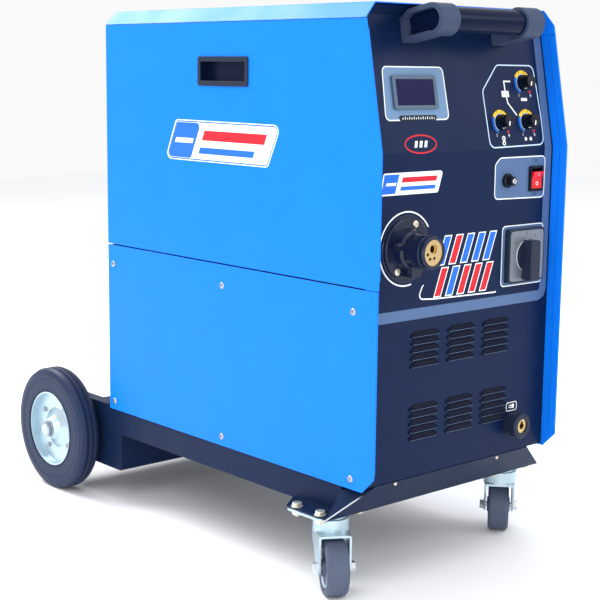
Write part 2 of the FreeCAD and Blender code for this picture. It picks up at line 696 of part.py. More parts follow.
def makeFrontPanel():
    body = newBody("front_panel")
    low, bent = "cabBottom + 3.3", "cabBottom + 606"
    tipY, tipZ = "frontLean + 9", "cabTop - 3.3"
    t = "faceSheet"
    profile = [("recess", low), (f"recess + {t}", low), (f"recess + {t}", "innerBend"),
               (f"{faceY(bent)} + {t}", f"{bent} + 0.6"), (f"{tipY} + 1", f"{tipZ} + 1.2"),
               (tipY, tipZ), (faceY(bent), bent), ("recess", "innerBend")]
    extrude(body, "YZ_Plane", "-faceHalf", "2 * faceHalf", outline(*profile))
    high = "lipLow - 1"
    deep = [("recess", low), ("recess + sideReturn", low), ("recess + sideReturn", "innerBend"),
            (f"{faceY(high)} + sideReturn", high), (faceY(high), high), ("recess", "innerBend")]
    for start in ("-faceHalf", f"faceHalf - {t}"):
        extrude(body, "YZ_Plane", start, t, outline(*deep))
    makeLouvres(body)
    rocker = rectangle("rockerX - rockerWide / 2 + 2", "rockerX + rockerWide / 2 - 2",
                       "cabBottom + rockerUp - rockerTall / 2 + 2",
                       "cabBottom + rockerUp + rockerTall / 2 - 2")
    cutOut(body, "XZ_Plane", "recess - 1", 10, rocker,
           disc("torchX", "torchZ", "torchBarrel + fitGap"),
           disc("earthX", "cabBottom + earthUp", "earthNeck + fitGap"),
           disc("selectorX", "cabBottom + selectorUp", "selectorNeck + fitGap"),
           disc("fuseX", "cabBottom + fuseUp", "fuseNeck + fitGap"))
    meter = rectangle("meterX - meterWide / 2 + 3", "meterX + meterWide / 2 - 3",
                      upFace("meterUp - meterTall / 2 + 3"), upFace("meterUp + meterTall / 2 - 3"))
    cutOut(body, "XZ_Plane", "recess - 1", 60, meter,
           *[disc(x, upFace(up), "potNeck + fitGap") for x, up in KNOB_SPOTS.values()])
    screwHoles(body, "-faceHalf - 1", FRONT_SCREWS)
    screwHoles(body, "faceHalf - 5", FRONT_SCREWS)
    doorRelief(body, "recess - 1", "recess + sideReturn + 1")
    trimCorners(body, "0", "120")


def doorRelief(body, front, back):
    """A notch for the door's lower strip, which swings in past the hinge."""
    cutOut(body, "YZ_Plane", "-faceHalf - 1", "hingeX + sweep + faceHalf + 1",
           rectangle(front, back, "hingeZ - sweep", "hingeZ + fitGap"))


def makeLouvres(body):
    """Pressed hoods, open below, with a slot through the sheet behind each."""
    column, lip = "0.5 - louvreColumns", "cabBottom + louvreLow"
    wide, tall = "louvreWidth / 2", "louvreTall"

    def section(y, half, low, high, corner):
        sketch = newSketch(body, "XZ_Plane", y)
        right = [(half, low), (half, f"{high} - {corner}"),
                 (f"{half} - 2 * {corner}", high)]
        points = [(f"{column} + {x}", z) for x, z in right]
        points += [(f"{column} - ({x})", z) for x, z in reversed(right)]
        outline(*points)(sketch)
        sketch.Visibility = False
        return sketch

    hood = body.newObject("PartDesign::AdditiveLoft", "Hood")
    hood.Profile = section("recess + 0.5", wide, lip, f"{lip} + {tall}", "4")
    hood.Sections = [section("recess - louvreProud", f"{wide} - 1.5", lip, f"{lip} + 3", "1.6")]
    hollow = body.newObject("PartDesign::SubtractiveLoft", "Hollow")
    hollow.Profile = section("recess + faceSheet + 0.5", f"({wide} - 1.3)", f"{lip} - 0.5",
                             f"{lip} + {tall} - 1.6", "3.6")
    hollow.Sections = [section("recess - louvreProud + 0.9", f"({wide} - 2.6)", f"{lip} - 0.5",
                               f"{lip} + 1.9", "1.2")]
    hood.Refine = False
    hollow.Refine = False
    pattern = body.newObject("PartDesign::MultiTransform", "Louvres")
    pattern.Originals = [hood, hollow]
    pattern.Refine = False
    steps = [("X_Axis", "2 * louvreColumns", 3), ("Z_Axis", "4 * louvrePitch", 5),
             ("Z_Axis", "louvreRows", 2)]
    moves = []
    for axis, length, count in steps:
        move = body.newObject("PartDesign::LinearPattern", "Step")
        move.Direction = (originPart(body, axis), [""])
        move.setExpression("Length", bound(length))
        move.Occurrences = count
        moves.append(move)
    pattern.Transformations = moves
    body.Tip = pattern


def makeRearPanel():
    body = newBody("rear_panel")
    low, step = "panTop + fitGap", "cabBottom + railLip + fitGap"
    narrow, top = "railHalf - baseSheet - fitGap", "cabTop - skin - fitGap"
    right = [(narrow, low), (narrow, step), ("faceHalf", step), ("faceHalf", top)]
    left = [(minus(x), z) for x, z in reversed(right)]
    extrude(body, "XZ_Plane", "rearInner", "faceSheet", outline(*right, *left))
    sides = [("rearFace - sideReturn", step), ("rearInner", step), ("rearInner", "lipLow - 1"),
             ("rearFace - sideReturn", "lipLow - 1")]
    for start in ("-faceHalf", "faceHalf - faceSheet"):
        extrude(body, "YZ_Plane", start, "faceSheet", outline(*sides))
    slot = rectangle("fanX - fanRadius + 14", "fanX + fanRadius - 14",
                     "cabBottom + fanUp - 4 * slotPitch - slotTall / 2",
                     "cabBottom + fanUp - 4 * slotPitch + slotTall / 2")
    first = cutOut(body, "XZ_Plane", "rearInner - 1", 5, slot)
    repeat(body, "Z_Axis", [first], "8 * slotPitch", 9)
    cutOut(body, "XZ_Plane", "rearInner - 1", 5,
           disc("glandX", "cabBottom + glandUp", "glandRadius + fitGap"),
           disc("glandX", "cabBottom + inletUp", "inletRadius + fitGap"))
    screwHoles(body, "-faceHalf - 1", REAR_SCREWS)
    screwHoles(body, "faceHalf - 5", REAR_SCREWS)
    doorRelief(body, "rearFace - sideReturn - 1", "rearFace + 1")
    trimCorners(body, "rearInner - 30", 40)


def makeDividerWall():
    """The wall between wire and power side, with the shelf that the wire side stands on."""
    body = newBody("divider_wall")
    t = "faceSheet"
    front, back = "faceSheet + 0.6", "rearInner - fitGap"
    low, high = "panTop + fitGap", "lipLow - 2"
    step = "cabBottom + 607"
    wall = [(f"recess + {front}", "cabBottom + 4"), ("apronBottomBack + 8", low), (back, low),
            (back, "cabTop - skin - fitGap"),
            (f"{faceY(step)} + {front}", "cabTop - skin - fitGap"), (f"{faceY(step)} + {front}", step),
            (f"recess + {front}", "innerBend")]
    extrude(body, "YZ_Plane", "wallX", t, outline(*wall))
    shelfFront, shelfBack = "recess + sideReturn + 2", "rearFace - sideReturn - 2"
    edge = "-innerHalf + fitGap"
    extrude(body, "XY_Plane", f"shelfTop - {t}", t,
            rectangle(edge, "wallX + 0.5", f"recess + {front}", back))
    extrude(body, "YZ_Plane", edge, t,
            rectangle(shelfFront, shelfBack, "shelfTop - 34", "shelfTop"))
    notch = [("-innerHalf - 1", "recess"), ("-innerHalf - 1", shelfFront),
             (f"{edge} + {t} + 1", shelfFront), (f"{edge} + {t} + 1", "recess")]
    behind = [("-innerHalf - 1", shelfBack), ("-innerHalf - 1", "rearFace"),
              (f"{edge} + {t} + 1", "rearFace"), (f"{edge} + {t} + 1", shelfBack)]
    cutOut(body, "XY_Plane", "shelfTop - 3", 4, outline(*notch), outline(*behind))
    # Hinge lugs stand on the shelf and reach out to the pins.
    for y in hingeSpots():
        for side in hingeLugs(y):
            extrude(body, "XZ_Plane", side, "lugLength", hingeLug())
            extrude(body, "XZ_Plane", side, "lugLength", disc("hingeX", "hingeZ", "hingeEye"))
            cutOut(body, "XZ_Plane", f"{side} - 1", "lugLength + 2",
                   disc("hingeX", "hingeZ", "hingePin + 0.01"))
    cutOut(body, "YZ_Plane", "wallX - 1", 5,
           disc("feederBack", "driveZ", "motorRadius + 1"),
           disc("spoolBack", "spoolZ", "hubBolt + fitGap"))
    cutOut(body, "YZ_Plane", f"{edge} - 1", 4, disc("screwMiddle", "screwHigh", 2.5))


def hingeSpots():
    return ["hingeFirst", "hingeFirst + hingeSpacing"]


def hingeLugs(y):
    """Where the two frame lugs start, one each side of the door's eye."""
    return [f"{y} - lugLength - fitGap", f"{y} + hingeLength + fitGap"]


def hingeLug():
    """An arm from the pin, clear of the door's sweep, and a leg down to the shelf."""
    half = "hingeEye - 0.6"
    return outline(("hingeX", f"hingeZ - ({half})"), ("lugX - 2", f"hingeZ - ({half})"),
                   ("lugX - 2", "shelfTop - 0.5"), ("lugX + 2", "shelfTop - 0.5"),
                   ("lugX + 2", f"hingeZ + {half}"), ("hingeX", f"hingeZ + {half}"))


def makeDoor():
    body = newBody("door")
    high = "shoulder - 1"
    extrude(body, "YZ_Plane", "-halfWidth", "skin",
            outline(("-doorAhead", "doorLow"), ("cabDepth", "doorLow"), ("cabDepth", high),
                    (f"{edgeY(high)} - doorAhead", high), ("-doorAhead", "bend")))
    frontHem(body, "-innerHalf", "-doorAhead", "doorLow + 12", "lipLow - 1")
    leaf = rectangle("-innerHalf - 0.5", "hingeX", "hingeZ + 0.2", "hingeZ + hingeEye")
    for y in hingeSpots():
        extrude(body, "XZ_Plane", y, "hingeLength", leaf)
        extrude(body, "XZ_Plane", y, "hingeLength", disc("hingeX", "hingeZ", "hingeEye"))
        cutOut(body, "XZ_Plane", f"{y} - 1", "hingeLength + 2",
               disc("hingeX", "hingeZ", "hingePin + runFit"))
    cutOut(body, "YZ_Plane", "-halfWidth - 1", 4, pullHole("fitGap"))


def pullHole(extra):
    return rectangle(f"pullBack - pullLong / 2 + 4 - {extra}",
                     f"pullBack + pullLong / 2 - 4 + {extra}",
                     f"pullZ - pullTall / 2 + 4 - {extra}", f"pullZ + pullTall / 2 - 4 + {extra}")


def makeDoorPull():
    """A moulded finger pocket with a bezel over the door's cut-out."""
    body = newBody("door_pull")
    half, tall = "pullLong / 2", "pullTall / 2"
    extrude(body, "YZ_Plane", "-halfWidth - 1.8", "1.8",
            roundRectangle(f"pullBack - {half}", f"pullBack + {half}", f"pullZ - {tall}",
                           f"pullZ + {tall}", "4"))
    extrude(body, "YZ_Plane", "-halfWidth", "pullDeep", pullHole("0"))
    opening = rectangle(f"pullBack - {half} + 6.5", f"pullBack + {half} - 6.5",
                        f"pullZ - {tall} + 7", f"pullZ + {tall} - 7")
    cutOut(body, "YZ_Plane", "-halfWidth - 3", "pullDeep - 3", opening)
    cutOut(body, "YZ_Plane", "-halfWidth - 3", "pullDeep + 1",
           rectangle(f"pullBack + {half} - 36", f"pullBack + {half} - 6.5",
                     f"pullZ - {tall} + 7", f"pullZ + {tall} - 7"))


def makeHingePins():
    """One pin through each pair of lugs, with a head at its front end."""
    body = newBody("hinge_pins")
    for y in hingeSpots():
        reach = "hingeLength + 2 * lugLength + 2 * fitGap"
        extrude(body, "XZ_Plane", f"{y} - lugLength - fitGap", reach,
                disc("hingeX", "hingeZ", "hingePin"))
        extrude(body, "XZ_Plane", f"{y} - lugLength - fitGap - 1.5", "1.5",
                disc("hingeX", "hingeZ", "hingePin + 1.2"))


# ---- rear fittings ----------------------------------------------------------------------

def makeCableGland():
    body = newBody("cable_gland", "glandX", "rearFace", "cabBottom + glandUp")
    revolve(body, "YZ_Plane", "Y_Axis",
            outline(("-14", "glandRadius - 3"), ("22", "glandRadius - 3"), ("22", "glandRadius"),
                    ("17", "glandRadius + 3"), ("6", "glandRadius + 3"), ("6", "glandRadius"),
                    ("-14", "glandRadius")))
    for start in ("0", "-faceSheet - 5"):
        extrude(body, "XZ_Plane", start, 5, hexagon("0", "0", "glandRadius * 2 + 8"),
                disc("0", "0", "glandRadius - 1"))


def makeGasInlet():
    body = newBody("gas_inlet", "glandX", "rearFace", "cabBottom + inletUp")
    barbs = []
    for step in range(3):
        barbs += [(str(30 - 6 * step), "2.6"), (str(25 - 6 * step), "4.2")]
    revolve(body, "YZ_Plane", "Y_Axis",
            outline(("-10", "1.5"), ("30", "1.5"), *barbs, ("12", "2.8"), ("10", "2.8"),
                    ("10", "inletRadius + 2"), ("0", "inletRadius + 2"), ("0", "inletRadius"),
                    ("-10", "inletRadius")))
    extrude(body, "XZ_Plane", "-faceSheet - 4", 4, hexagon("0", "0", "inletRadius * 2 + 6"),
            disc("0", "0", "inletRadius - 1"))


def makeCylinderBracket():
    """A shelf with a hollowed edge that the gas cylinder leans in, folded down at the panel."""
    body = newBody("cylinder_bracket", "0", "rearFace", "cabBottom + cradleUp")
    half, reach = "cylinderRadius + 14", "cradleReach"
    extrude(body, "XY_Plane", "0", "2.5", rectangle(minus(half), half, "0", reach))
    extrude(body, "XY_Plane", "-40", "40.5", rectangle(minus(half), half, "0", "2.5"))
    cutOut(body, "XY_Plane", "-1", "5", disc("0", f"{reach} - 28 + cylinderRadius",
                                             "cylinderRadius"))
    for side in ("-", ""):
        edges = sorted((f"{side}(cylinderRadius + 1)", f"{side}(cylinderRadius + 5)"), key=value)
        cutOut(body, "XY_Plane", "-1", "5", rectangle(*edges, "14", "48"))


# ---- handle -----------------------------------------------------------------------------

def makeHandleBrackets():
    """Two arms that stand off the leaning face, each with a boss round the tube's end."""
    body = leaningBody("handle_brackets")
    foot, reach = "handleUp - bossRadius + 1", "-handleReach"
    arm = outline((reach, foot), ("-fitGap", foot), ("-fitGap", "handleUp + bossRadius - 9"),
                  ("-16", "handleUp + bossRadius"), (reach, "handleUp + bossRadius"))
    start = "handleHalf - armWidth"
    features = [extrude(body, "YZ_Plane", start, "armWidth", arm),
                extrude(body, "YZ_Plane", "handleHalf - bossLength", "bossLength",
                        disc(reach, "handleUp", "bossRadius"))]
    hollow = outline((f"{reach} + 2", f"{foot} + armWall"), ("-armWall - 3", f"{foot} + armWall"),
                     ("-armWall - 3", "handleUp + bossRadius - armWall - 5"),
                     ("-18", "handleUp + bossRadius - armWall"),
                     (f"{reach} + 2", "handleUp + bossRadius - armWall"))
    features += [cutOut(body, "YZ_Plane", "handleHalf - 9", 10, hollow),
                 cutOut(body, "YZ_Plane", "handleHalf - 9", 10,
                        disc(reach, "handleUp", "bossRadius - armWall"))]
    mirror(body, "YZ_Plane", features)


def makeHandleTube():
    body = leaningBody("handle_tube")
    end = "handleHalf - bossLength"
    extrude(body, "YZ_Plane", minus(end), f"2 * ({end})",
            disc("-handleReach", "handleUp", "tubeRadius"))


# ---- front fittings ---------------------------------------------------------------------

def makeTorchSocket():
    housing = newBody("torch_socket_housing", "torchX", "recess", "torchZ")
    bore, barrel, front = "torchBore + 0.02", "torchBarrel", "-torchProud"
    revolve(housing, "YZ_Plane", "Y_Axis",
            outline((front, bore), ("faceSheet + 18", bore), ("faceSheet + 18", barrel),
                    ("0", barrel), ("0", "torchFlange"), ("-3.5", "torchFlange"),
                    ("-5", "torchFlange - 1.5"), ("-5", f"{barrel} + 6"),
                    ("-14", f"{barrel} + 3"), ("-17", barrel), (f"{front} + 8", barrel),
                    (f"{front} + 7", f"{barrel} - 1"), (f"{front} + 1.5", f"{barrel} - 1"),
                    (front, f"{barrel} - 2.5")))
    extrude(housing, "XZ_Plane", "-20", 19, rectangle("-9", "9", "-torchBarrel - 12",
                                                      "-torchBarrel + 2"))
    extrude(housing, "YZ_Plane", "-torchBarrel - 11", 14, disc("-13", "6", "5.5"))
    cutOut(housing, "XZ_Plane", "-6", 8, *[disc(x, z, "screwRadius + fitGap")
                                           for x, z in TORCH_SCREWS])
    brass = newBody("torch_socket_brass", "torchX", "recess", "torchZ")
    extrude(brass, "XZ_Plane", "-torchProud + 1.2", "torchProud + faceSheet + 15",
            disc("0", "0", "torchBore"))
    cutOut(brass, "XZ_Plane", "-torchProud", "torchHoleDeep + 1.2",
           disc("0", "torchPinUp", "torchHole"))
    cutOut(brass, "XZ_Plane", "-torchProud", "4", disc("0", "torchPinUp", "torchHole + 1.8"))
    cutOut(brass, "XZ_Plane", "-torchProud", 12, *[disc(x, z, "2.1") for x, z in CONTACT_HOLES])


def makeEarthSocket():
    body = newBody("earth_socket_body", "earthX", "recess", "cabBottom + earthUp")
    bore = "earthBrass + 0.02"
    revolve(body, "YZ_Plane", "Y_Axis",
            outline(("-earthProud", bore), ("faceSheet + 20", bore),
                    ("faceSheet + 20", "earthNeck"), ("0", "earthNeck"),
                    ("0", "earthNeck + 2.2"), ("-3", "earthNeck + 2.2"), ("-4", "earthNeck"),
                    ("-7", "earthNeck"), ("-10", "earthRadius"),
                    ("-earthProud + 1.5", "earthRadius"), ("-earthProud", "earthRadius - 1.5")))
    brass = newBody("earth_socket_brass", "earthX", "recess", "cabBottom + earthUp")
    extrude(brass, "XZ_Plane", "-earthProud + 2", "earthProud + faceSheet + 24",
            disc("0", "0", "earthBrass"))
    cutOut(brass, "XZ_Plane", "-earthProud", "earthHoleDeep + 2", disc("0", "0", "earthHole"))
    cutOut(brass, "XZ_Plane", "-earthProud", "8", rectangle("-2", "2", "0", "earthHole + 2.6"))


def makeMeter():
    bezel = leaningBody("meter_bezel", "meterX", "meterUp")
    half, tall = "meterWide / 2", "meterTall / 2"
    extrude(bezel, "XZ_Plane", "-meterProud", "meterProud",
            roundRectangle(minus(half), half, minus(tall), tall, "3"))
    extrude(bezel, "XZ_Plane", "0", "22",
            rectangle(f"-{half} + 4", f"{half} - 4", f"-{tall} + 4", f"{tall} - 4"))
    window = "meterFrame"
    cutOut(bezel, "XZ_Plane", "-meterProud - 1", "meterProud + 1",
           rectangle(f"-{half} + {window}", f"{half} - {window}",
                     f"-{tall} + {window} - 0.8", f"{tall} - {window} + 0.8"))
    glass = leaningBody("meter_window", "meterX", "meterUp")
    edge = f"{window} + 0.25"
    extrude(glass, "XZ_Plane", "-meterProud + 1", "2",
            rectangle(f"-{half} + {edge}", f"{half} - ({edge})", f"-{tall} + {edge} - 0.8",
                      f"{tall} - ({edge}) + 0.8"))


def makeFuseHolder():
    base = newBody("fuse_base", "fuseX", "recess", "cabBottom + fuseUp")
    bore = "fuseShaft + runFit"
    revolve(base, "YZ_Plane", "Y_Axis",
            outline(("-6", bore), ("faceSheet + 14", bore), ("faceSheet + 14", "fuseNeck"),
                    ("0", "fuseNeck"), ("0", "fuseCollar"), ("-4", "fuseCollar"),
                    ("-6", "fuseCollar - 2")))
    cap = newBody("fuse_cap", "fuseX", "recess", "cabBottom + fuseUp")
    extrude(cap, "XZ_Plane", "-13.8", "7.5", disc("0", "0", "fuseCapRadius"))
    extrude(cap, "XZ_Plane", "-6.5", "16", disc("0", "0", "fuseShaft"))
    roundEdges(cap, "1.2", lambda edge: edge.BoundBox.YMax < -13 and edge.Length > 20)
    cutOut(cap, "XZ_Plane", "-15", "2.6", rectangle("-fuseCapRadius - 1", "fuseCapRadius + 1",
                                                    "-0.7", "0.7"))


def makeRocker():
    """The switch rocks about a pin behind the face; its lower end rests pressed in."""
    frame = newBody("rocker_frame", "rockerX", "recess", "cabBottom + rockerUp")
    half, tall, wall = "rockerWide / 2", "rockerTall / 2", "rockerWall"
    extrude(frame, "XZ_Plane", "-3.5", "3.5", roundRectangle(minus(half), half, minus(tall), tall,
                                                            "2.5"))
    extrude(frame, "XZ_Plane", "0", "24",
            rectangle(f"-{half} + 2.4", f"{half} - 2.4", f"-{tall} + 2.4", f"{tall} - 2.4"))
    cutOut(frame, "XZ_Plane", "-4", "22",
           rectangle(f"-{half} + {wall}", f"{half} - {wall}", f"-{tall} + {wall}",
                     f"{tall} - {wall}"))
    button = newBody("rocker_button", "rockerX", "recess + rockerPivot", "cabBottom + rockerUp",
                     (1, 0, 0), "rockerTilt")
    wide = f"{half} - {wall} - 0.4"
    extrude(button, "YZ_Plane", minus(wide), f"2 * ({wide})",
            outline(("-9.5", "12"), ("-6.5", "0"), ("-9.5", "-12"), ("3", "-9"), ("5", "0"),
                    ("3", "9")))
    extrude(button, "YZ_Plane", f"-({wide}) - 1", f"2 * ({wide}) + 2", disc("0", "0", "pivotRadius"))
    extrude(frame, "XZ_Plane", "18", "6", rectangle("-3", "3", "-6", "6"))
    cutOut(frame, "YZ_Plane", minus(half), f"2 * {half}",
           disc("rockerPivot", "0", "pivotRadius + runFit"))


def makeSelector():
    plate = newBody("selector_plate", "selectorX", "recess", "cabBottom + selectorUp")
    half, rim = "selectorPlate / 2", "selectorPlate / 2 + 4.5"
    extrude(plate, "XZ_Plane", "-1.2", "1.2", roundRectangle(minus(rim), rim, minus(rim), rim, "3"))
    extrude(plate, "XZ_Plane", "-3", "2", roundRectangle(minus(half), half, minus(half), half,
                                                        "3"))
    extrude(plate, "XZ_Plane", "-0.1", "faceSheet + 3", disc("0", "0", "selectorNeck"))
    extrude(plate, "XZ_Plane", "faceSheet + 2", "46", roundRectangle("-24", "24", "-24", "24", "4"))
    bore = "shaftRadius + 1 + runFit"
    cutOut(plate, "XZ_Plane", "-4", "24", disc("0", "0", bore))
    knob = newBody("selector_knob", "selectorX", "recess", "cabBottom + selectorUp")
    extrude(knob, "XZ_Plane", "-10", "6.6", disc("0", "0", "selectorGrip"))
    extrude(knob, "XZ_Plane", "-selectorProud", "selectorProud - 9",
            roundRectangle("-10", "10", "-34", "22", "4"))
    roundEdges(knob, "1.5", lambda edge: edge.BoundBox.YMax < value("-selectorProud + 0.1"))
    extrude(knob, "XZ_Plane", "-5", "22", disc("0", "0", "shaftRadius + 1"))


def makeKnobs():
    pots = leaningBody("control_pots")
    for across, up in KNOB_SPOTS.values():
        extrude(pots, "XZ_Plane", "faceSheet + 0.3", "14", disc(across, up, "11"))
        extrude(pots, "XZ_Plane", "-3", "faceSheet + 4", disc(across, up, "potNeck"))
        cutOut(pots, "XZ_Plane", "-4", "faceSheet + 12", disc(across, up, "shaftRadius + runFit"))
    for label, (across, up) in KNOB_SPOTS.items():
        knob = leaningBody(label, across, up)
        extrude(knob, "XZ_Plane", "-3.4", "9", disc("0", "0", "shaftRadius"))
        extrude(knob, "XZ_Plane", "-6", "2.6", disc("0", "0", "knobRadius"))
        extrude(knob, "XZ_Plane", "-knobTall", "knobTall - 5.9", disc("0", "0", "knobRadius - 1.5"))
        roundEdges(knob, "1", lambda edge: edge.BoundBox.YMax < value("-knobTall + 0.1"))
        cutOut(knob, "XZ_Plane", "-knobTall - 1", "1.8", rectangle("1", "knobRadius", "-0.7",
                                                                  "0.7"))


# ---- wire side --------------------------------------------------------------------------

def makeFeeder():
    plate = newBody("feeder_plate")
    t, front, back = "feederPlateThick", "feederBack - 56", "feederBack + 84"
    extrude(plate, "YZ_Plane", "feederX", t,
            outline((front, "shelfTop"), (back, "shelfTop"), (back, "torchZ + 30"),
                    ("feederBack + 60", "torchZ + 44"), ("feederBack + 14", "torchZ + 44"),
                    ("feederBack - 10", "torchZ + 6"), (front, "torchZ + 6")))
    extrude(plate, "XY_Plane", "shelfTop", t, rectangle("feederX", "wallX - fitGap", front, back))
    # Guides carry the wire in from the spool and on into the torch socket.
    inlet = "feederBack + 36"
    extrude(plate, "XZ_Plane", inlet, 40, disc("torchX", "torchZ", "guideRadius"))
    extrude(plate, "XZ_Plane", inlet, 40, rectangle("torchX", "feederX + 1", "torchZ - 5",
                                                    "torchZ + 5"))
    outlet = "recess + faceSheet + 18.3"
    length = f"feederBack - 22 - ({outlet})"
    extrude(plate, "XZ_Plane", outlet, length, disc("torchX", "torchZ", "guideRadius"))
    extrude(plate, "XZ_Plane", f"{front} + 2", "30", rectangle("torchX", "feederX + 1",
                                                              "torchZ - 5", "torchZ + 5"))
    cutOut(plate, "XZ_Plane", "recess", "260", disc("torchX", "torchZ", "1.2"))
    cutOut(plate, "YZ_Plane", "feederX - 1", 8, disc("feederBack", "driveZ", "feedShaft + 1"),
           disc("pivotBack", "pivotZ", "pivotPin"))
    motor = newBody("feed_motor")
    extrude(motor, "YZ_Plane", "feederInner", "wallX - feederInner + 70",
            disc("feederBack", "driveZ", "motorRadius"))
    extrude(motor, "YZ_Plane", "wallX + 70", "12", disc("feederBack", "driveZ", "9"))
    cutOut(motor, "YZ_Plane", "feederInner - 1", "24",
           disc("feederBack", "driveZ", "feedShaft + runFit"))


def grooved(radius, bore):
    """Half section of a roll with a wire groove round it."""
    half = "rollWidth / 2"
    return outline((minus(half), bore), (half, bore), (half, radius), ("0.9", radius),
                   ("0", f"{radius} - 0.7"), ("-0.9", radius), (minus(half), radius))


def makeFeedRolls():
    drive = newBody("drive_roll", "torchX", "feederBack", "driveZ")
    revolve(drive, "XZ_Plane", "X_Axis", grooved("driveRadius", "0"))
    extrude(drive, "YZ_Plane", "0", "feederInner - torchX + 18", disc("0", "0", "feedShaft"))
    extrude(drive, "YZ_Plane", "-rollWidth / 2 - 5", "5.5", disc("0", "0", "8"))
    arm = newBody("pressure_arm")
    start, thick = "(torchX + rollWidth / 2 + 0.5)", "armPlate"
    tip = "feederBack - 34"
    high = "pressZ + pressRadius + 6"
    extrude(arm, "YZ_Plane", start, thick,
            outline(("pivotBack + 9", "pivotZ - 7"), ("pivotBack + 9", "pivotZ + 9"),
                    ("feederBack + 12", high), (tip, high), (tip, f"{high} - 8"),
                    ("feederBack - 10", f"{high} - 12"), ("feederBack - 8", "pressZ - 7"),
                    ("feederBack + 8", "pressZ - 7"), ("feederBack + 16", "pivotZ - 7")))
    extrude(arm, "XY_Plane", f"{high} - 8", 8,
            rectangle("torchX - 8", f"{start} + 1", tip, f"{tip} + 18"))
    extrude(arm, "YZ_Plane", "torchX - rollWidth / 2 - 3", "rollWidth + 4",
            disc("feederBack", "pressZ", "rollPin"))
    extrude(arm, "YZ_Plane", f"{start} + 0.5", f"feederX - 0.5 - {start}",
            disc("pivotBack", "pivotZ", "9"))
    extrude(arm, "YZ_Plane", f"{start} + 0.5", f"feederX + 3.5 - {start}",
            disc("pivotBack", "pivotZ", "pivotPin - runFit"))
    cutOut(arm, "XY_Plane", f"{high} - 12", 20,
           disc("torchX", f"{tip} + 9", "screwStem + runFit"))
    roll = newBody("pressure_roll", "torchX", "feederBack", "pressZ")
    revolve(roll, "XZ_Plane", "X_Axis", grooved("pressRadius", "rollPin + runFit"))
    knob = newBody("tension_knob", "torchX", f"{tip} + 9", high)
    revolve(knob, "XZ_Plane", "Z_Axis",
            outline(("0", "-22"), ("screwStem", "-22"), ("screwStem", "fitGap"),
                    ("8", "fitGap"), ("9.5", "2"), ("9.5", "22"), ("8", "24"), ("0", "24")))


def makeSpool():
    hub = newBody("spool_hub", "wallX", "spoolBack", "spoolZ")
    near = "spoolX - spoolWidth / 2 - wallX"
    far = "spoolX + spoolWidth / 2 - wallX"
    revolve(hub, "XZ_Plane", "X_Axis",
            outline(("0", "0"), ("0", "40"), ("-4", "40"), (f"{far} + fitGap", "spoolBore + 6"),
                    (f"{far} + fitGap", "spoolBore - runFit"),
                    (f"{near} - fitGap", "spoolBore - runFit"),
                    (f"{near} - fitGap", "spoolBore + 7"), (f"{near} - 8", "spoolBore + 4"),
                    (f"{near} - 8", "0")))
    extrude(hub, "YZ_Plane", "-1", "faceSheet + 9", disc("0", "0", "hubBolt"))
    extrude(hub, "YZ_Plane", "faceSheet", "6", hexagon("0", "0", "20"))
    spool = newBody("wire_spool", "spoolX", "spoolBack", "spoolZ")
    half, core = "spoolWidth / 2", "spoolBore + 24"
    revolve(spool, "XZ_Plane", "X_Axis",
            outline((minus(half), "spoolBore"), (half, "spoolBore"), (half, "spoolRadius"),
                    (f"{half} - 3", "spoolRadius"), (f"{half} - 5", core), (f"-{half} + 5", core),
                    (f"-{half} + 3", "spoolRadius"), (minus(half), "spoolRadius")))
    holes = cutOut(spool, "YZ_Plane", f"-{half} - 1", "spoolWidth + 2",
                   disc("0", "spoolRadius * 0.62", "spoolRadius * 0.13"))
    polar(spool, "X_Axis", [holes], 6)
    winding = newBody("wire_winding", "spoolX", "spoolBack", "spoolZ")
    inner, side = "spoolBore + 24.1", f"{half} - 5.1"
    revolve(winding, "XZ_Plane", "X_Axis",
            outline((minus(side), inner), (side, inner), (side, "windingRadius"),
                    (minus(side), "windingRadius")))


# ---- power side -------------------------------------------------------------------------

def makeTransformer():
    core = newBody("transformer_core", "coreX", "coreBack", "panTop")
    wide, deep = "coreWide / 2", "coreDeep / 2"
    window = rectangle(f"-{wide} + legWide", f"{wide} - legWide", "coreFoot + legWide",
                       "coreFoot + coreTall - legWide")
    extrude(core, "XZ_Plane", minus(deep), "coreDeep",
            rectangle(minus(wide), wide, "coreFoot", "coreFoot + coreTall"), window)
    for side in ("-", ""):
        foot = sorted((f"{side}({deep} + 18)", f"{side}({deep} - 6)"), key=value)
        extrude(core, "XY_Plane", "0", "coreFoot", rectangle(minus(wide), wide, *foot))
    coils = newBody("transformer_coils", "coreX", "coreBack", "panTop")
    low, tall = "coreFoot + legWide + fitGap", "coreTall - 2 * legWide - 2 * fitGap"
    for side in ("-1", "1"):
        middle = f"{side} * ({wide} - legWide / 2)"
        outer = roundRectangle(f"{middle} - legWide / 2 - coilThick",
                               f"{middle} + legWide / 2 + coilThick",
                               f"-{deep} - coilThick", f"{deep} + coilThick", "8")
        inner = rectangle(f"{middle} - legWide / 2 - fitGap", f"{middle} + legWide / 2 + fitGap",
                          f"-{deep} - fitGap", f"{deep} + fitGap")
        extrude(coils, "XY_Plane", low, tall, outer, inner)


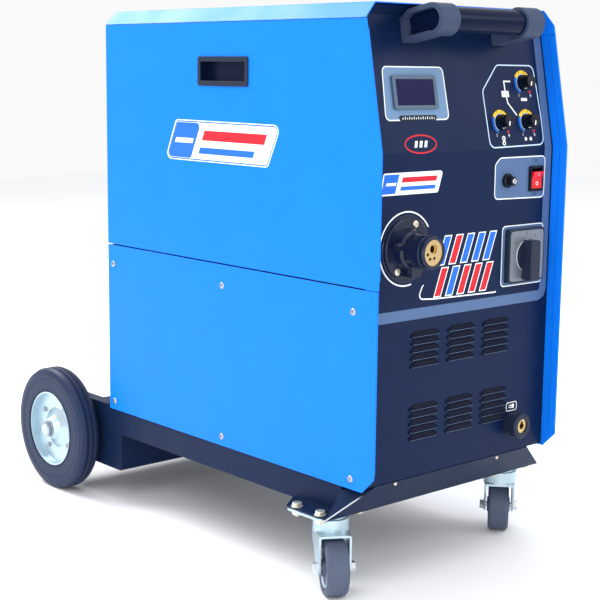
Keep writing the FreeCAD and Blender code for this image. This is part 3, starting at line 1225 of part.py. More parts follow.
def makeFan():
    motor = newBody("fan_motor", "fanX", "rearInner - fitGap", "cabBottom + fanUp")
    shroud, deep = "(fanRadius + 3)", "34"
    frame = roundRectangle(f"-{shroud} - 4", f"{shroud} + 4", f"-{shroud} - 4", f"{shroud} + 4",
                           "10")
    extrude(motor, "XZ_Plane", minus(deep), deep, frame, disc("0", "0", shroud))
    arm = extrude(motor, "XZ_Plane", "-5", "5", rectangle("10", "fanRadius + 4", "-4", "4"))
    polar(motor, "Y_Axis", [arm], 4)
    extrude(motor, "XZ_Plane", "-14", "14", disc("0", "0", "22"))
    extrude(motor, "XZ_Plane", "-26", "13", disc("0", "0", "shaftRadius"))
    blades = newBody("fan_blades", "fanX", "rearInner - fitGap - 22", "cabBottom + fanUp")
    revolve(blades, "YZ_Plane", "Y_Axis",
            outline(("-7", "0"), ("-7", "20"), ("-4", "22"), ("7", "22"),
                    ("7", "shaftRadius + runFit"), ("-5.5", "shaftRadius + runFit"),
                    ("-5.5", "0")))
    blade = makeBlade(blades, [("21", 7.0, 40.0), ("fanRadius", 15.0, 24.0)])
    polar(blades, "Y_Axis", [blade], 7)


def makeBlade(body, stations):
    """A twisted blade: thin slanted sections, wider and flatter towards the tip."""
    sketches = []
    for radius, half, pitch in stations:
        sketch = newSketch(body, "YZ_Plane", radius)
        rise, run = math.sin(math.radians(pitch)), math.cos(math.radians(pitch))
        along, across = f"{half * rise:.3f}", f"{half * run:.3f}"
        outline((f"-{along}", f"-{across} - 0.8"), (f"-{along}", f"-{across} + 0.8"),
                (along, f"{across} + 0.8"), (along, f"{across} - 0.8"))(sketch)
        sketch.Visibility = False
        sketches.append(sketch)
    loft = body.newObject("PartDesign::AdditiveLoft", "Blade")
    loft.Profile = sketches[0]
    loft.Sections = sketches[1:]
    return loft


# ---- rear wheels ------------------------------------------------------------------------

def makeRearAxle():
    body = newBody("rear_axle", "0", "axleBack", "wheelRadius")
    end, thread = "hubEnd + 8.5", "axleRadius - 1"
    revolve(body, "XZ_Plane", "X_Axis",
            outline((minus(end), "0"), (end, "0"), (end, f"{thread} - 1"), (f"{end} - 1", thread),
                    ("hubEnd + fitGap", thread), ("hubEnd + fitGap", "axleRadius"),
                    ("-hubEnd - fitGap", "axleRadius"), ("-hubEnd - fitGap", thread),
                    (f"-({end}) + 1", thread), (minus(end), f"{thread} - 1")))


def makeRearWheel(side, name):
    """Tyre and pressed steel rim; `side` is the sign of x."""
    def across(points):
        return outline(*[(f"{side}(wheelIn + {x})", r) for x, r in points])

    tyre = newBody(f"tyre_{name}", "0", "axleBack", "wheelRadius")
    seat, top = "rimRadius + 0.05", "wheelRadius"
    shoulder, wide = "tyreShoulder", "tyreWidth"
    profile = [("1.5", seat), ("0", f"{seat} + 4"), ("0", f"{top} - {shoulder} - 3"),
               ("0.3 * tyreShoulder", f"{top} - 0.35 * {shoulder}"), (shoulder, top)]
    far = [(f"{wide} - {x}", r) for x, r in reversed(profile)]
    for place in ("0.36", "0.64"):
        middle = f"{place} * {wide}"
        profile += [(f"{middle} - 1.6", top), (f"{middle} - 1", f"{top} - 3"),
                    (f"{middle} + 1", f"{top} - 3"), (f"{middle} + 1.6", top)]
    revolve(tyre, "XZ_Plane", "X_Axis", across(profile + far))
    rim = newBody(f"rim_{name}", "0", "axleBack", "wheelRadius")
    bore, out = "axleRadius + runFit", "rimRadius"
    lip, end = f"{wide} - 1", f"{wide} + hubProud"
    revolve(rim, "XZ_Plane", "X_Axis",
            across([("1", out), (lip, out), (lip, f"{out} - 2.5"), (f"{wide} - 13", f"{out} - 4"),
                    (f"{wide} - 15", "33"), (f"{wide} - 8", "22"), (end, "16"), (end, bore),
                    ("-wheelGap + 0.8", bore), ("-wheelGap + 0.8", "16"), ("14", "18"),
                    (f"{wide} - 18", "31"), (f"{wide} - 17", f"{out} - 6.5"),
                    ("1", f"{out} - 2.5")]))


# ---- casters ----------------------------------------------------------------------------

def makeCasterPlates():
    """Top plate, upper race and king pin of each caster, bolted under the pan."""
    body = newBody("caster_plates", "0", "casterBack", "0")
    top = "casterHeight"
    for side in ("-", ""):
        middle = f"{side}casterX"
        along = "plateShift"
        holes = [disc(f"{middle} {a} boltAcross / 2", f"{along} {b} boltAlong / 2",
                      "boltRadius + fitGap") for a in "-+" for b in "-+"]
        extrude(body, "XY_Plane", f"{top} - 3", 3,
                roundRectangle(f"{middle} - boltAcross / 2 - 11", f"{middle} + boltAcross / 2 + 11",
                               f"{along} - boltAlong / 2 - 10.5",
                               f"{along} + boltAlong / 2 + 10.5", "6"), *holes)
        extrude(body, "XY_Plane", "raceTop", f"{top} - 2.9 - raceTop",
                disc(middle, "0", "headRadius - 3"))
        extrude(body, "XY_Plane", "crownUnder - 1", f"raceTop + 1.1 - crownUnder",
                disc(middle, "0", "kingPin"))
        extrude(body, "XY_Plane", "crownUnder - 4.3", 4, disc(middle, "0", "kingPin + 4"))


def casterBody(label, side, name, reach="0", z="0"):
    """A body in the caster's own frame: x runs from the swivel towards the wheel's axle."""
    yaw = "casterYaw" + name.capitalize()
    return newBody(label, f"{side}casterX + ({reach}) * cos({yaw})",
                   f"casterBack + ({reach}) * sin({yaw})", z, (0, 0, 1), yaw)


def makeCaster(side, name):
    fork = casterBody(f"caster_fork_{name}", side, name)
    out, crown = "forkHalf", "crownUnder"
    extrude(fork, "XY_Plane", crown, "forkSheet",
            roundRectangle("-24", "casterTrail + 9", minus(out), out, "3"))
    extrude(fork, "XY_Plane", f"{crown} + 1", f"raceTop - fitGap - {crown} - 1",
            disc("0", "0", "headRadius"))
    leg = outline(("casterTrail + 9", f"{crown} + 1"), ("casterTrail + 9", "casterRadius - 3"),
                  ("casterTrail + 4", "casterRadius - 9"), ("casterTrail - 4", "casterRadius - 9"),
                  ("casterTrail - 10", "casterRadius - 4"), ("-20", f"{crown} - 12"),
                  ("-22", f"{crown} + 1"))
    for start in (minus(out), f"{out} - forkSheet"):
        extrude(fork, "XZ_Plane", start, "forkSheet", leg)
    cutOut(fork, "XZ_Plane", f"-{out} - 1", f"2 * {out} + 2",
           disc("casterTrail", "casterRadius", "casterAxle"))
    cutOut(fork, "XY_Plane", f"{crown} - 1", "raceTop - crownUnder + 2",
           disc("0", "0", "kingPin + runFit"))
    axle = casterBody(f"caster_axle_{name}", side, name, "casterTrail", "casterRadius")
    reach = "forkHalf + 0.05"
    extrude(axle, "XZ_Plane", f"-({reach}) - 3", f"2 * ({reach}) + 6", disc("0", "0", "casterAxle"))
    for start in (reach, f"-({reach}) - 6"):
        extrude(axle, "XZ_Plane", start, 6, hexagon("0", "0", "13"))
    wheel = casterBody(f"caster_wheel_{name}", side, name, "casterTrail", "casterRadius")
    half, hub, r, bore = "casterWidth / 2", "casterWidth / 2 + 2", "casterRadius", (
        "casterAxle + runFit")
    near = [(half, f"{r} - 7"), (half, f"{r} - 3"), (f"{half} - 3", r)]
    revolve(wheel, "YZ_Plane", "Y_Axis",
            outline((f"-({hub})", bore), (hub, bore), (hub, "11"), (f"{half} - 2", "12"),
                    (f"{half} - 3", f"{r} - 9"), *near,
                    *[(minus(x), z) for x, z in reversed(near)],
                    (f"-{half} + 3", f"{r} - 9"), (f"-{half} + 2", "12"), (f"-({hub})", "11")))


# ---- fasteners --------------------------------------------------------------------------

def makeCartBolts():
    """Caster bolts with their nuts, and the washers and nuts at the axle's ends."""
    body = newBody("cart_bolts")
    plateLow = "casterHeight - 3"
    for x, y in casterBoltSpots():
        extrude(body, "XY_Plane", "panTop", "5.5", hexagon(x, y, "13"))
        extrude(body, "XY_Plane", f"{plateLow} - 8", "baseSheet + 11.5", disc(x, y, "boltRadius"))
        extrude(body, "XY_Plane", f"{plateLow} - 6", "6", hexagon(x, y, "13", 30))
    for start, length in (("hubEnd + fitGap + 2", "6"), ("-hubEnd - fitGap - 8", "6")):
        extrude(body, "YZ_Plane", start, length, hexagon("axleBack", "wheelRadius", "24"),
                disc("axleBack", "wheelRadius", "axleRadius - 0.98"))
    for start in ("hubEnd + fitGap", "-hubEnd - fitGap - 2"):
        extrude(body, "YZ_Plane", start, 2, disc("axleBack", "wheelRadius", "14.5"),
                disc("axleBack", "wheelRadius", "axleRadius - 0.98"))


def makePanelScrews():
    body = newBody("panel_screws")
    for spots, start, head in ((SIDE_SCREWS, "-halfWidth", "-halfWidth - 2.2"),
                               (RIGHT_SCREWS, "halfWidth - 5.2", "halfWidth")):
        extrude(body, "YZ_Plane", head, "2.2", *[disc(y, z, "screwHead") for y, z in spots])
        extrude(body, "YZ_Plane", start, "5.2", *[disc(y, z, "screwRadius") for y, z in spots])
    spots = [(f"torchX + {x}", f"torchZ + {z}") for x, z in TORCH_SCREWS]
    extrude(body, "XZ_Plane", "recess - 7.3", "2.2", *[disc(x, z, "screwHead") for x, z in spots])
    extrude(body, "XZ_Plane", "recess - 5.2", "5.1", *[disc(x, z, "screwRadius")
                                                      for x, z in spots])


# ---- build, check and write -------------------------------------------------------------

MAKERS = [
    makeBasePan, makeFrontApron, makeAxleBracket, makeLowerLeftPanel, makeRightPanel, makeRoof,
    makeFrontPanel, makeRearPanel, makeDividerWall, makeDoor, makeDoorPull, makeHingePins,
    makeCableGland, makeGasInlet, makeCylinderBracket, makeHandleBrackets, makeHandleTube,
    makeTorchSocket, makeEarthSocket, makeMeter, makeFuseHolder, makeRocker, makeSelector,
    makeKnobs, makeFeeder, makeFeedRolls, makeSpool, makeTransformer, makeFan, makeRearAxle,
    makeCasterPlates, makeCartBolts, makePanelScrews,
]

for make in MAKERS:
    make()
for sign, sideName in (("-", "left"), ("", "right")):
    makeRearWheel(sign, sideName)
    makeCaster(sign, sideName)
doc.recompute()

broken = [item.Label for item in doc.Objects if {"Invalid", "Error"} & set(item.State)]
for label, piece in pieces.items():
    if piece.Shape.isNull() or not piece.Shape.isValid() or not piece.Shape.Solids:
        broken.append(label)
if broken:
    raise RuntimeError("these pieces failed: " + ", ".join(broken))

os.makedirs("parts", exist_ok=True)
for label, piece in pieces.items():
    piece.Shape.exportStep(f"parts/{label}.step")
print(len(pieces), "pieces written")
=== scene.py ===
import json
from math import cos, pi, radians, sin, tan

import bmesh
import bpy
from mathutils import Matrix, Vector
from mathutils.bvhtree import BVHTree


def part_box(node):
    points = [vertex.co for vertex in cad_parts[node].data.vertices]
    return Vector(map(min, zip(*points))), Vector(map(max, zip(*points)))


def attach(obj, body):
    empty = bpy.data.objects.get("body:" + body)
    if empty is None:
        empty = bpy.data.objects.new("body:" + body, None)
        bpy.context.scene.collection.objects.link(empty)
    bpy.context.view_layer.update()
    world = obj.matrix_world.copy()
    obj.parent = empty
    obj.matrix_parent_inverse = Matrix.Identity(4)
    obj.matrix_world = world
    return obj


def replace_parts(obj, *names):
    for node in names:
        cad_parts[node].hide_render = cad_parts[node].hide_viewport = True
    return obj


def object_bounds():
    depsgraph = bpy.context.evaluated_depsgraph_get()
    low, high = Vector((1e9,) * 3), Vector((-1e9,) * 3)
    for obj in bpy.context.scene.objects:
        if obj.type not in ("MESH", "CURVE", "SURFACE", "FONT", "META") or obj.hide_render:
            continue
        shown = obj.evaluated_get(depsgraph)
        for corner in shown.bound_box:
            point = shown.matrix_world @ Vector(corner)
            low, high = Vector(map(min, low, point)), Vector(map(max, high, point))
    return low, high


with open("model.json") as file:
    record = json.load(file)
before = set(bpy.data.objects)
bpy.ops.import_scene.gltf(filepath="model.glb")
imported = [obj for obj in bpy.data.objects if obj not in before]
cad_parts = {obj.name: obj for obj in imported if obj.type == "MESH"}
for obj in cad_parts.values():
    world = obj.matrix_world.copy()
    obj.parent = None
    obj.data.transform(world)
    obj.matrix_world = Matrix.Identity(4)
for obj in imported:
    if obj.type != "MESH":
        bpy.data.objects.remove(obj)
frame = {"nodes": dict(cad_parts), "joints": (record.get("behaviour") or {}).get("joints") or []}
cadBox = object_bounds()
mm = 0.001


def newObject(name, content):  # puts a mesh, curve, lamp or camera in the scene
    item = bpy.data.objects.new(name, content)
    bpy.context.collection.objects.link(item)
    return item


print("stage: camera and studio")

cameraSet = {
    "place": (-1.3705, -1.5999, 0.6878),
    "azimuth": -41.34,  # degrees, 0 looks along +Y
    "elevation": 9.52,
    "roll": 0.66,
    "lens": 82.55,  # mm
    "sensor": 36.0,
}


def placeCamera():
    turn, rise = radians(cameraSet["azimuth"]), radians(cameraSet["elevation"])
    back = Vector((sin(turn) * cos(rise), -cos(turn) * cos(rise), sin(rise)))
    right = (-back).cross(Vector((0, 0, 1))).normalized()
    up = back.cross(right)
    roll = radians(cameraSet["roll"])
    across = cos(roll) * right + sin(roll) * up
    upright = cos(roll) * up - sin(roll) * right
    lens = bpy.data.cameras.new("camera")
    lens.sensor_width = cameraSet["sensor"]
    lens.lens = cameraSet["lens"]
    camera = newObject("camera", lens)
    turned = Matrix((across, upright, back)).transposed().to_4x4()
    camera.matrix_world = Matrix.Translation(cameraSet["place"]) @ turned
    bpy.context.scene.camera = camera


placeCamera()

studio = {
    "sky": 0.95,
    "floor": "F8F9FA",
    "floorHalf": 6.0,  # metres
    # name: place, aim, width, height, watts
    "lamps": {
        "keyLamp": ((-2.8, -1.4, 2.4), (0.0, 0.0, 0.4), 2.2, 2.2, 39.0),
        "frontLamp": ((2.2, -2.8, 2.0), (0.0, -0.3, 0.6), 1.6, 1.2, 20.0),
        "rimLamp": ((-0.7, 2.4, 2.7), (-0.17, 0.0, 0.7), 2.4, 1.4, 125.0),
        "topLamp": ((0.0, -0.6, 3.0), (0.0, 0.0, 0.5), 2.4, 2.4, 24.0),
        "lowLamp": ((-1.5, -2.7, 0.6), (-0.1, 0.0, 0.15), 1.4, 0.8, 12.0),
    },
}


def linear(hexCode):  # sRGB hex to linear colour
    parts = [int(hexCode[i:i + 2], 16) / 255 for i in (0, 2, 4)]
    curve = [c / 12.92 if c <= 0.04045 else ((c + 0.055) / 1.055) ** 2.4 for c in parts]
    return (*curve, 1.0)


def addNode(material, kind, inputs=None, settings=None):
    # inputs: socket name or number -> a value, or (node, output name) for a link
    node = material.node_tree.nodes.new("ShaderNode" + kind)
    for key, value in (settings or {}).items():
        setattr(node, key, value)
    for socket, value in (inputs or {}).items():
        if isinstance(value, tuple) and isinstance(value[0], bpy.types.Node):
            material.node_tree.links.new(value[0].outputs[value[1]], node.inputs[socket])
        else:
            node.inputs[socket].default_value = value
    return node


def newMaterial(name):
    material = bpy.data.materials.new(name)
    material.use_nodes = True
    material.node_tree.nodes.clear()
    return material


def finishMaterial(material, shader):
    addNode(material, "OutputMaterial", {"Surface": (shader, "BSDF")})
    return material


def lightStudio():
    world = bpy.data.worlds.new("studio")
    world.use_nodes = True
    sky = world.node_tree.nodes["Background"].inputs
    sky["Color"].default_value = (1, 1, 1, 1)
    sky["Strength"].default_value = studio["sky"]
    bpy.context.scene.world = world
    for name, (place, aim, width, height, watts) in studio["lamps"].items():
        lamp = bpy.data.lights.new(name, "AREA")
        lamp.shape = "RECTANGLE"
        lamp.size = width
        lamp.size_y = height
        lamp.energy = watts
        holder = newObject(name, lamp)
        holder.location = place
        holder.rotation_euler = (Vector(aim) - Vector(place)).to_track_quat("-Z", "Y").to_euler()
    bpy.context.scene.view_settings.view_transform = "Standard"


lightStudio()

print("stage: materials")

# Marks that the making leaves are given in mm: grain is their size, stretch draws them out along
# X, Y and Z, and lines is the spacing of sheets or turns along an axis.
finishes = {
    # Polyester powder coat on folded steel, baked: faint orange peel, thin on the folds.
    "bluePowderCoat": {"colour": "0F79F2", "rough": 0.34, "gloss": 0.1, "grain": 2.4,
                       "depth": 0.02, "round": 0.8},
    "blackPowderCoat": {"colour": "0F203E", "rough": 0.44, "gloss": 0.11, "grain": 1.4,
                        "depth": 0.1, "round": 0.7},
    "frontPowderCoat": {"colour": "0B1D3F", "rough": 0.36, "gloss": 0.11, "grain": 1.8,
                        "depth": 0.05, "round": 0.6},
    # Painted shade: the faces inside the pressed louvres get this darker copy of the front coat.
    "louvrePaintedShade": {"colour": "070F24", "rough": 0.3, "gloss": 0.06, "round": 0.5},
    # ABS, injection moulded: even grain from the spark-eroded mould.
    "grainedAbs": {"colour": "38445D", "rough": 0.5, "gloss": 0.16, "grain": 0.7, "depth": 0.45,
                   "round": 0.8},
    "smoothAbs": {"colour": "0A1630", "rough": 0.22, "gloss": 0.07, "grain": 0.5, "depth": 0.05,
                  "round": 0.5},
    "blackAbs": {"colour": "1B2438", "rough": 0.38, "gloss": 0.22, "grain": 0.5, "depth": 0.1,
                 "round": 0.4},
    "greyBlueAbs": {"colour": "4A5D72", "rough": 0.34, "gloss": 0.25, "grain": 0.6, "depth": 0.06,
                    "round": 0.4},
    # Glass-filled nylon, moulded: dense and a little waxy.
    "socketNylon": {"colour": "111B34", "rough": 0.22, "gloss": 0.34, "grain": 0.8, "depth": 0.06,
                    "round": 0.5},
    # Bakelite, pressed: hard, glossy, nearly black.
    "bakelite": {"colour": "0B101C", "rough": 0.26, "gloss": 0.16, "grain": 2.0, "depth": 0.02,
                 "round": 0.4},
    # Polycarbonate, moulded and dyed through: glossy and bright.
    "redPolycarbonate": {"colour": "D4161C", "rough": 0.2, "gloss": 0.4, "grain": 2.0,
                         "depth": 0.02, "round": 0.4},
    # Nylon, moulded in pale grey: slightly translucent look, soft gloss.
    "paleNylon": {"colour": "A9BCCF", "rough": 0.42, "gloss": 0.3, "grain": 0.6, "depth": 0.06},
    # Painted highlight: a pale strip along the louvre lips, standing in for the light they catch.
    "thinCoat": {"colour": "5E7C96", "metal": 0.3, "rough": 0.38, "gloss": 0.3, "depth": 0.03},
    # Vulcanised rubber: matt, with a greyish bloom.
    "tyreRubber": {"colour": "1D2A45", "rough": 0.46, "gloss": 0.2, "grain": 0.8, "depth": 0.2,
                   "round": 2.5, "vary": 0.25},
    "casterRubber": {"colour": "465064", "rough": 0.5, "gloss": 0.3, "grain": 0.8, "depth": 0.16,
                     "round": 0.8, "vary": 0.25},
    # Steel, zinc electroplated: cool and slightly clouded, yellow where it is passivated.
    "zincPlate": {"colour": "B4C8D2", "metal": 0.85, "rough": 0.34, "grain": 1.5, "depth": 0.03,
                  "round": 0.5},
    "brightZinc": {"colour": "DCE2E8", "metal": 1.0, "rough": 0.22, "grain": 1.0, "depth": 0.05,
                   "round": 0.3},
    "yellowZinc": {"colour": "CBC7B2", "metal": 0.75, "rough": 0.32, "grain": 0.8, "depth": 0.08,
                   "round": 0.3, "vary": 0.3},
    # Mild steel, machined and left bare: grey, a little darker than zinc.
    "greySteel": {"colour": "A6ABB2", "metal": 1.0, "rough": 0.3, "grain": 0.8, "depth": 0.08},
    # Painted highlight: a pale ring round the knob, standing in for the light on the chamfer of its
    # disc.
    "paleSteel": {"colour": "E4EAF2", "metal": 0.4, "rough": 0.24, "gloss": 0.5},
    # Brass, turned: fine rings from the tool.
    "turnedBrass": {"colour": "C9AE7E", "metal": 1.0, "rough": 0.28, "grain": 0.7, "depth": 0.05,
                    "round": 0.3},
    # Mild steel, rolled and cut: dull, drawn along the sheet.
    "rolledSteel": {"colour": "A9B0B8", "metal": 1.0, "rough": 0.4, "grain": 1.0, "depth": 0.08,
                    "stretch": (1, 6, 1), "round": 0.4},
    # Aluminium sheet, brushed and clear lacquered: hairlines across the plate.
    "brushedAluminium": {"colour": "777E8A", "metal": 0.5, "rough": 0.36, "grain": 0.4,
                         "depth": 0.1, "stretch": (14, 1, 1), "round": 0.4},
    # Enamelled copper wire, wound: turns lie side by side. Drawn coarser than the wire, to show.
    "copperWinding": {"colour": "B87446", "metal": 1.0, "rough": 0.34, "grain": 0.9, "depth": 0.9,
                      "lines": ("Z", 2.4)},
    "wireWinding": {"colour": "C38356", "metal": 1.0, "rough": 0.3, "grain": 0.9, "depth": 0.9,
                    "lines": ("X", 1.6)},
    # Silicon steel, punched and stacked: sheet edges half a millimetre apart, drawn at two.
    "laminations": {"colour": "4A4C50", "metal": 0.6, "rough": 0.55, "grain": 0.5, "depth": 0.8,
                    "lines": ("Y", 2.0)},
}
# Screen-print inks: a flat, slightly raised film.
inks = {"whiteInk": "E9F0F8", "silverInk": "6785A8", "steelInk": "4E678E", "paleInk": "C2DAF2",
        "blackInk": "0C1120", "greyInk": "27324C", "redInk": "C8202E", "yellowInk": "F2C81A",
        "blueInk": "2068D0"}
glossier = {"blackInk": 0.36, "redInk": 0.4, "yellowInk": 0.4, "blueInk": 0.40}  # roughness
for ink, colour in inks.items():
    finishes[ink] = dict(colour=colour, rough=glossier.get(ink, 0.42), gloss=0.2)
usual = dict(metal=0.0, gloss=0.5, grain=1.0, depth=0.02, stretch=(1, 1, 1), round=0.0, vary=0.12,
             lines=None)
surface = {
    "cloud": 60.0,  # mm, soft clouds in which gloss and tint wander
    "sheen": (-0.04, 0.06),  # how far roughness wanders
    "relief": 0.2,  # mm, height of the marks at full depth
    "waver": 0.4,  # how unevenly turns or sheets lie
}


def makeFinish(name):
    finish = {**usual, **finishes[name]}
    material = newMaterial(name)
    place = addNode(material, "TexCoord")
    scale = tuple(1 / (finish["grain"] * mm * draw) for draw in finish["stretch"])
    drawn = addNode(material, "Mapping", {"Vector": (place, "Object"), "Scale": scale})
    marks = addNode(material, "TexNoise",
                    {"Vector": (drawn, "Vector"), "Scale": 1.0, "Detail": 3.0})
    clouds = addNode(material, "TexNoise",
                     {"Vector": (place, "Object"), "Scale": 1 / (surface["cloud"] * mm),
                      "Detail": 4.0})
    low, high = (finish["rough"] + change for change in surface["sheen"])
    sheen = addNode(material, "MapRange",
                    {"Value": (clouds, "Fac"), "From Min": 0.3, "From Max": 0.7,
                     "To Min": low, "To Max": high})
    height = (marks, "Fac")
    if finish["lines"]:
        axis, spacing = finish["lines"]
        bands = 0.314 / (spacing * mm)  # the wave node repeats every 0.314 of its scale
        turns = addNode(material, "TexWave", {"Vector": (place, "Object"), "Scale": bands,
                                              "Distortion": surface["waver"]},
                        {"bands_direction": axis})
        height = (turns, "Fac")
    softened = {}
    if finish["round"]:  # edges as round as the fold, cut or mould leaves them
        edge = addNode(material, "Bevel", {"Radius": finish["round"] * mm}, {"samples": 4})
        softened = {"Normal": (edge, "Normal")}
    bump = addNode(material, "Bump", {"Height": height, "Strength": finish["depth"],
                                      "Distance": surface["relief"] * mm, **softened})
    base = linear(finish["colour"])
    light = tuple(min(1.0, c * (1 + finish["vary"])) for c in base[:3]) + (1.0,)
    tint = addNode(material, "Mix", {0: (clouds, "Fac"), 6: base, 7: light}, {"data_type": "RGBA"})
    shader = addNode(material, "BsdfPrincipled",
                     {"Base Color": (tint, 2), "Metallic": finish["metal"],
                      "Specular IOR Level": finish["gloss"], "Roughness": (sheen, "Result"),
                      "Normal": (bump, "Normal")})
    return finishMaterial(material, shader)


def makePlain(name, colour, rough, gloss=0.5):
    material = newMaterial(name)
    shader = addNode(material, "BsdfPrincipled", {"Base Color": linear(colour), "Roughness": rough,
                                                  "Specular IOR Level": gloss})
    return finishMaterial(material, shader)


materials = {name: makeFinish(name) for name in finishes}
# Cast acrylic window, dyed dark violet and polished. Seamless studio paper, matt.
materials["smokedAcrylic"] = makePlain("smokedAcrylic", "0A0A40", 0.12, 0.05)
materials["studioPaper"] = makePlain("studioPaper", studio["floor"], 0.9)


def newMesh(name, points, faces, finish=None):
    mesh = bpy.data.meshes.new(name)
    mesh.from_pydata(points, [], faces)
    if finish:
        mesh.materials.append(materials[finish])
    return mesh


nodeFinish = {
    "bluePowderCoat": "lower_left_panel right_side_panel roof_panel door",
    "blackPowderCoat": "base_pan front_apron axle_bracket rear_panel cylinder_bracket",
    "frontPowderCoat": "front_panel",
    "grainedAbs": "handle_brackets",
    "smoothAbs": "handle_tube",
    "blackAbs": "door_pull selector_plate cable_gland selector_knob tension_knob fan_motor "
                "fan_blades feed_motor spool_hub wire_spool earth_socket_body",
    "socketNylon": "torch_socket_housing",
    "greyBlueAbs": "meter_bezel",
    "bakelite": "fuse_base fuse_cap rocker_frame knob_top knob_left knob_right",
    "redPolycarbonate": "rocker_button",
    "tyreRubber": "tyre_left tyre_right",
    "casterRubber": "caster_wheel_left caster_wheel_right",
    "zincPlate": "rim_left rim_right caster_fork_left caster_fork_right caster_plates rear_axle",
    "brightZinc": "panel_screws caster_axle_left caster_axle_right hinge_pins",
    "yellowZinc": "cart_bolts",
    "turnedBrass": "torch_socket_brass earth_socket_brass gas_inlet",
    "rolledSteel": "divider_wall feeder_plate control_pots drive_roll pressure_arm pressure_roll",
    "copperWinding": "transformer_coils",
    "wireWinding": "wire_winding",
    "laminations": "transformer_core",
    "smokedAcrylic": "meter_window",
}


def dressNodes():
    for finish, names in nodeFinish.items():
        for name in names.split():
            skin = frame["nodes"][name].data.materials
            skin.clear()
            skin.append(materials[finish])


dressNodes()


def layFloor():
    half, low = studio["floorHalf"], cadBox[0][2]
    corners = [(-half, -half, low), (half, -half, low), (half, half, low), (-half, half, low)]
    newObject("floor", newMesh("floor", corners, [(0, 1, 2, 3)], "studioPaper"))


layFloor()

print("stage: screen prints")

shell = {
    "setBack": 24.5,  # front face behind the side panels' edge
    "bend": 433.2,  # where the front panel starts to lean back, above the side panels' foot
    "lean": 10.65,  # degrees
    "film": 0.12,  # one layer of ink
}
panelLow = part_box("right_side_panel")[0]
edgeBack, footUp = panelLow.y / mm, panelLow.z / mm
frontBack = edgeBack + shell["setBack"]
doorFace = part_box("lower_left_panel")[0].x / mm
leanTurn = radians(shell["lean"])


def frontFace(x, up, lift=0.0):  # lower, upright part of the front panel
    return Vector((x, frontBack - lift, footUp + up)) * mm


def leanFace(x, along, lift=0.0):  # upper part, measured up the slope from the bend
    back = along * sin(leanTurn) - lift * cos(leanTurn)
    up = along * cos(leanTurn) + lift * sin(leanTurn)
    return Vector((x, frontBack + back, footUp + shell["bend"] + up)) * mm


def sideFace(across, up, lift=0.0):  # left side, across runs from the front edge to the rear
    return Vector((doorFace - lift, edgeBack + across, footUp + up)) * mm


inkSheets = {}


def layInk(ink, body, place, loops, layer=1):
    # loops: flat polygons in the face's own millimetres
    sheet = inkSheets.setdefault((ink, body), ([], []))
    for loop in loops:
        first = len(sheet[0])
        sheet[0].extend(place(point[0], point[1], shell["film"] * layer) for point in loop)
        sheet[1].append(tuple(range(first, first + len(loop))))


def inkOn(body, place):  # prints on one face of one body
    return lambda ink, loops, layer=1: layInk(ink, body, place, loops, layer)


slopeInk = inkOn("cart", leanFace)
frontInk = inkOn("cart", frontFace)
sideInk = inkOn("door", sideFace)


def roundedLoop(corners, radius, steps=6):
    if not radius:
        return corners
    loop = []
    for i, corner in enumerate(corners):
        here = Vector(corner)
        before = Vector(corners[i - 1]) - here
        after = Vector(corners[(i + 1) % len(corners)]) - here
        half = before.angle(after) / 2
        reach = min(radius / tan(half), before.length / 2, after.length / 2)
        bisector = (before.normalized() + after.normalized()).normalized()
        centre = here + bisector * (reach / cos(half))
        start = here + before.normalized() * reach - centre
        end = here + after.normalized() * reach - centre
        turn = start.angle_signed(end)
        for step in range(steps + 1):
            part = -turn * step / steps
            loop.append((centre.x + start.x * cos(part) - start.y * sin(part),
                         centre.y + start.x * sin(part) + start.y * cos(part)))
    return loop


def arcLine(centre, radius, start, end, steps=24, squash=1.0):  # degrees, anticlockwise
    turns = [radians(start + (end - start) * step / steps) for step in range(steps + 1)]
    return [(centre[0] + radius * cos(turn), centre[1] + radius * squash * sin(turn))
            for turn in turns]


def strokeLoops(line, width, closed=False):  # quads along a line, mitred at its corners
    points, sides = [Vector(point) for point in line], []
    count = len(points)
    runs = [(points[(i + 1) % count] - points[i]).normalized() for i in range(count)]
    for i, point in enumerate(points):
        into = runs[i - 1] if i or closed else runs[0]
        out = runs[i] if i < count - 1 or closed else into
        along = (into + out).normalized()
        across = Vector((-along.y, along.x)) * (width / 2) / max(0.4, along.dot(into))
        sides.append((point + across, point - across))
    pairs = zip(sides, sides[1:] + (sides[:1] if closed else []))
    return [(here[1], after[1], after[0], here[0]) for here, after in pairs]


def barLoop(start, end, low, high, slant):  # a parallelogram between two heights
    return [(start, low), (end, low), (end + slant, high), (start + slant, high)]


def boxLoop(left, right, low, high):
    return [(left, low), (right, low), (right, high), (left, high)]


def letterLoops(words, centre, height):  # plain lettering: digits, ON and OFF
    capHeight = 1.38  # type size for capitals one high
    curve = bpy.data.curves.new("letters", "FONT")
    curve.body = words
    curve.size = height * capHeight
    curve.align_x = "CENTER"
    curve.align_y = "CENTER"
    holder = newObject("letters", curve)
    bpy.context.view_layer.update()
    mesh = bpy.data.meshes.new_from_object(holder)
    spots = [(v.co.x + centre[0], v.co.y + centre[1]) for v in mesh.vertices]
    loops = [[spots[index] for index in face.vertices] for face in mesh.polygons]
    bpy.data.objects.remove(holder)
    bpy.data.curves.remove(curve)
    bpy.data.meshes.remove(mesh)
    return loops


def printField(faceInk, ink, loop, edge):  # a patch of ink with a white line round it
    faceInk(ink, [loop])
    faceInk("whiteInk", strokeLoops(loop, edge, True), 2)


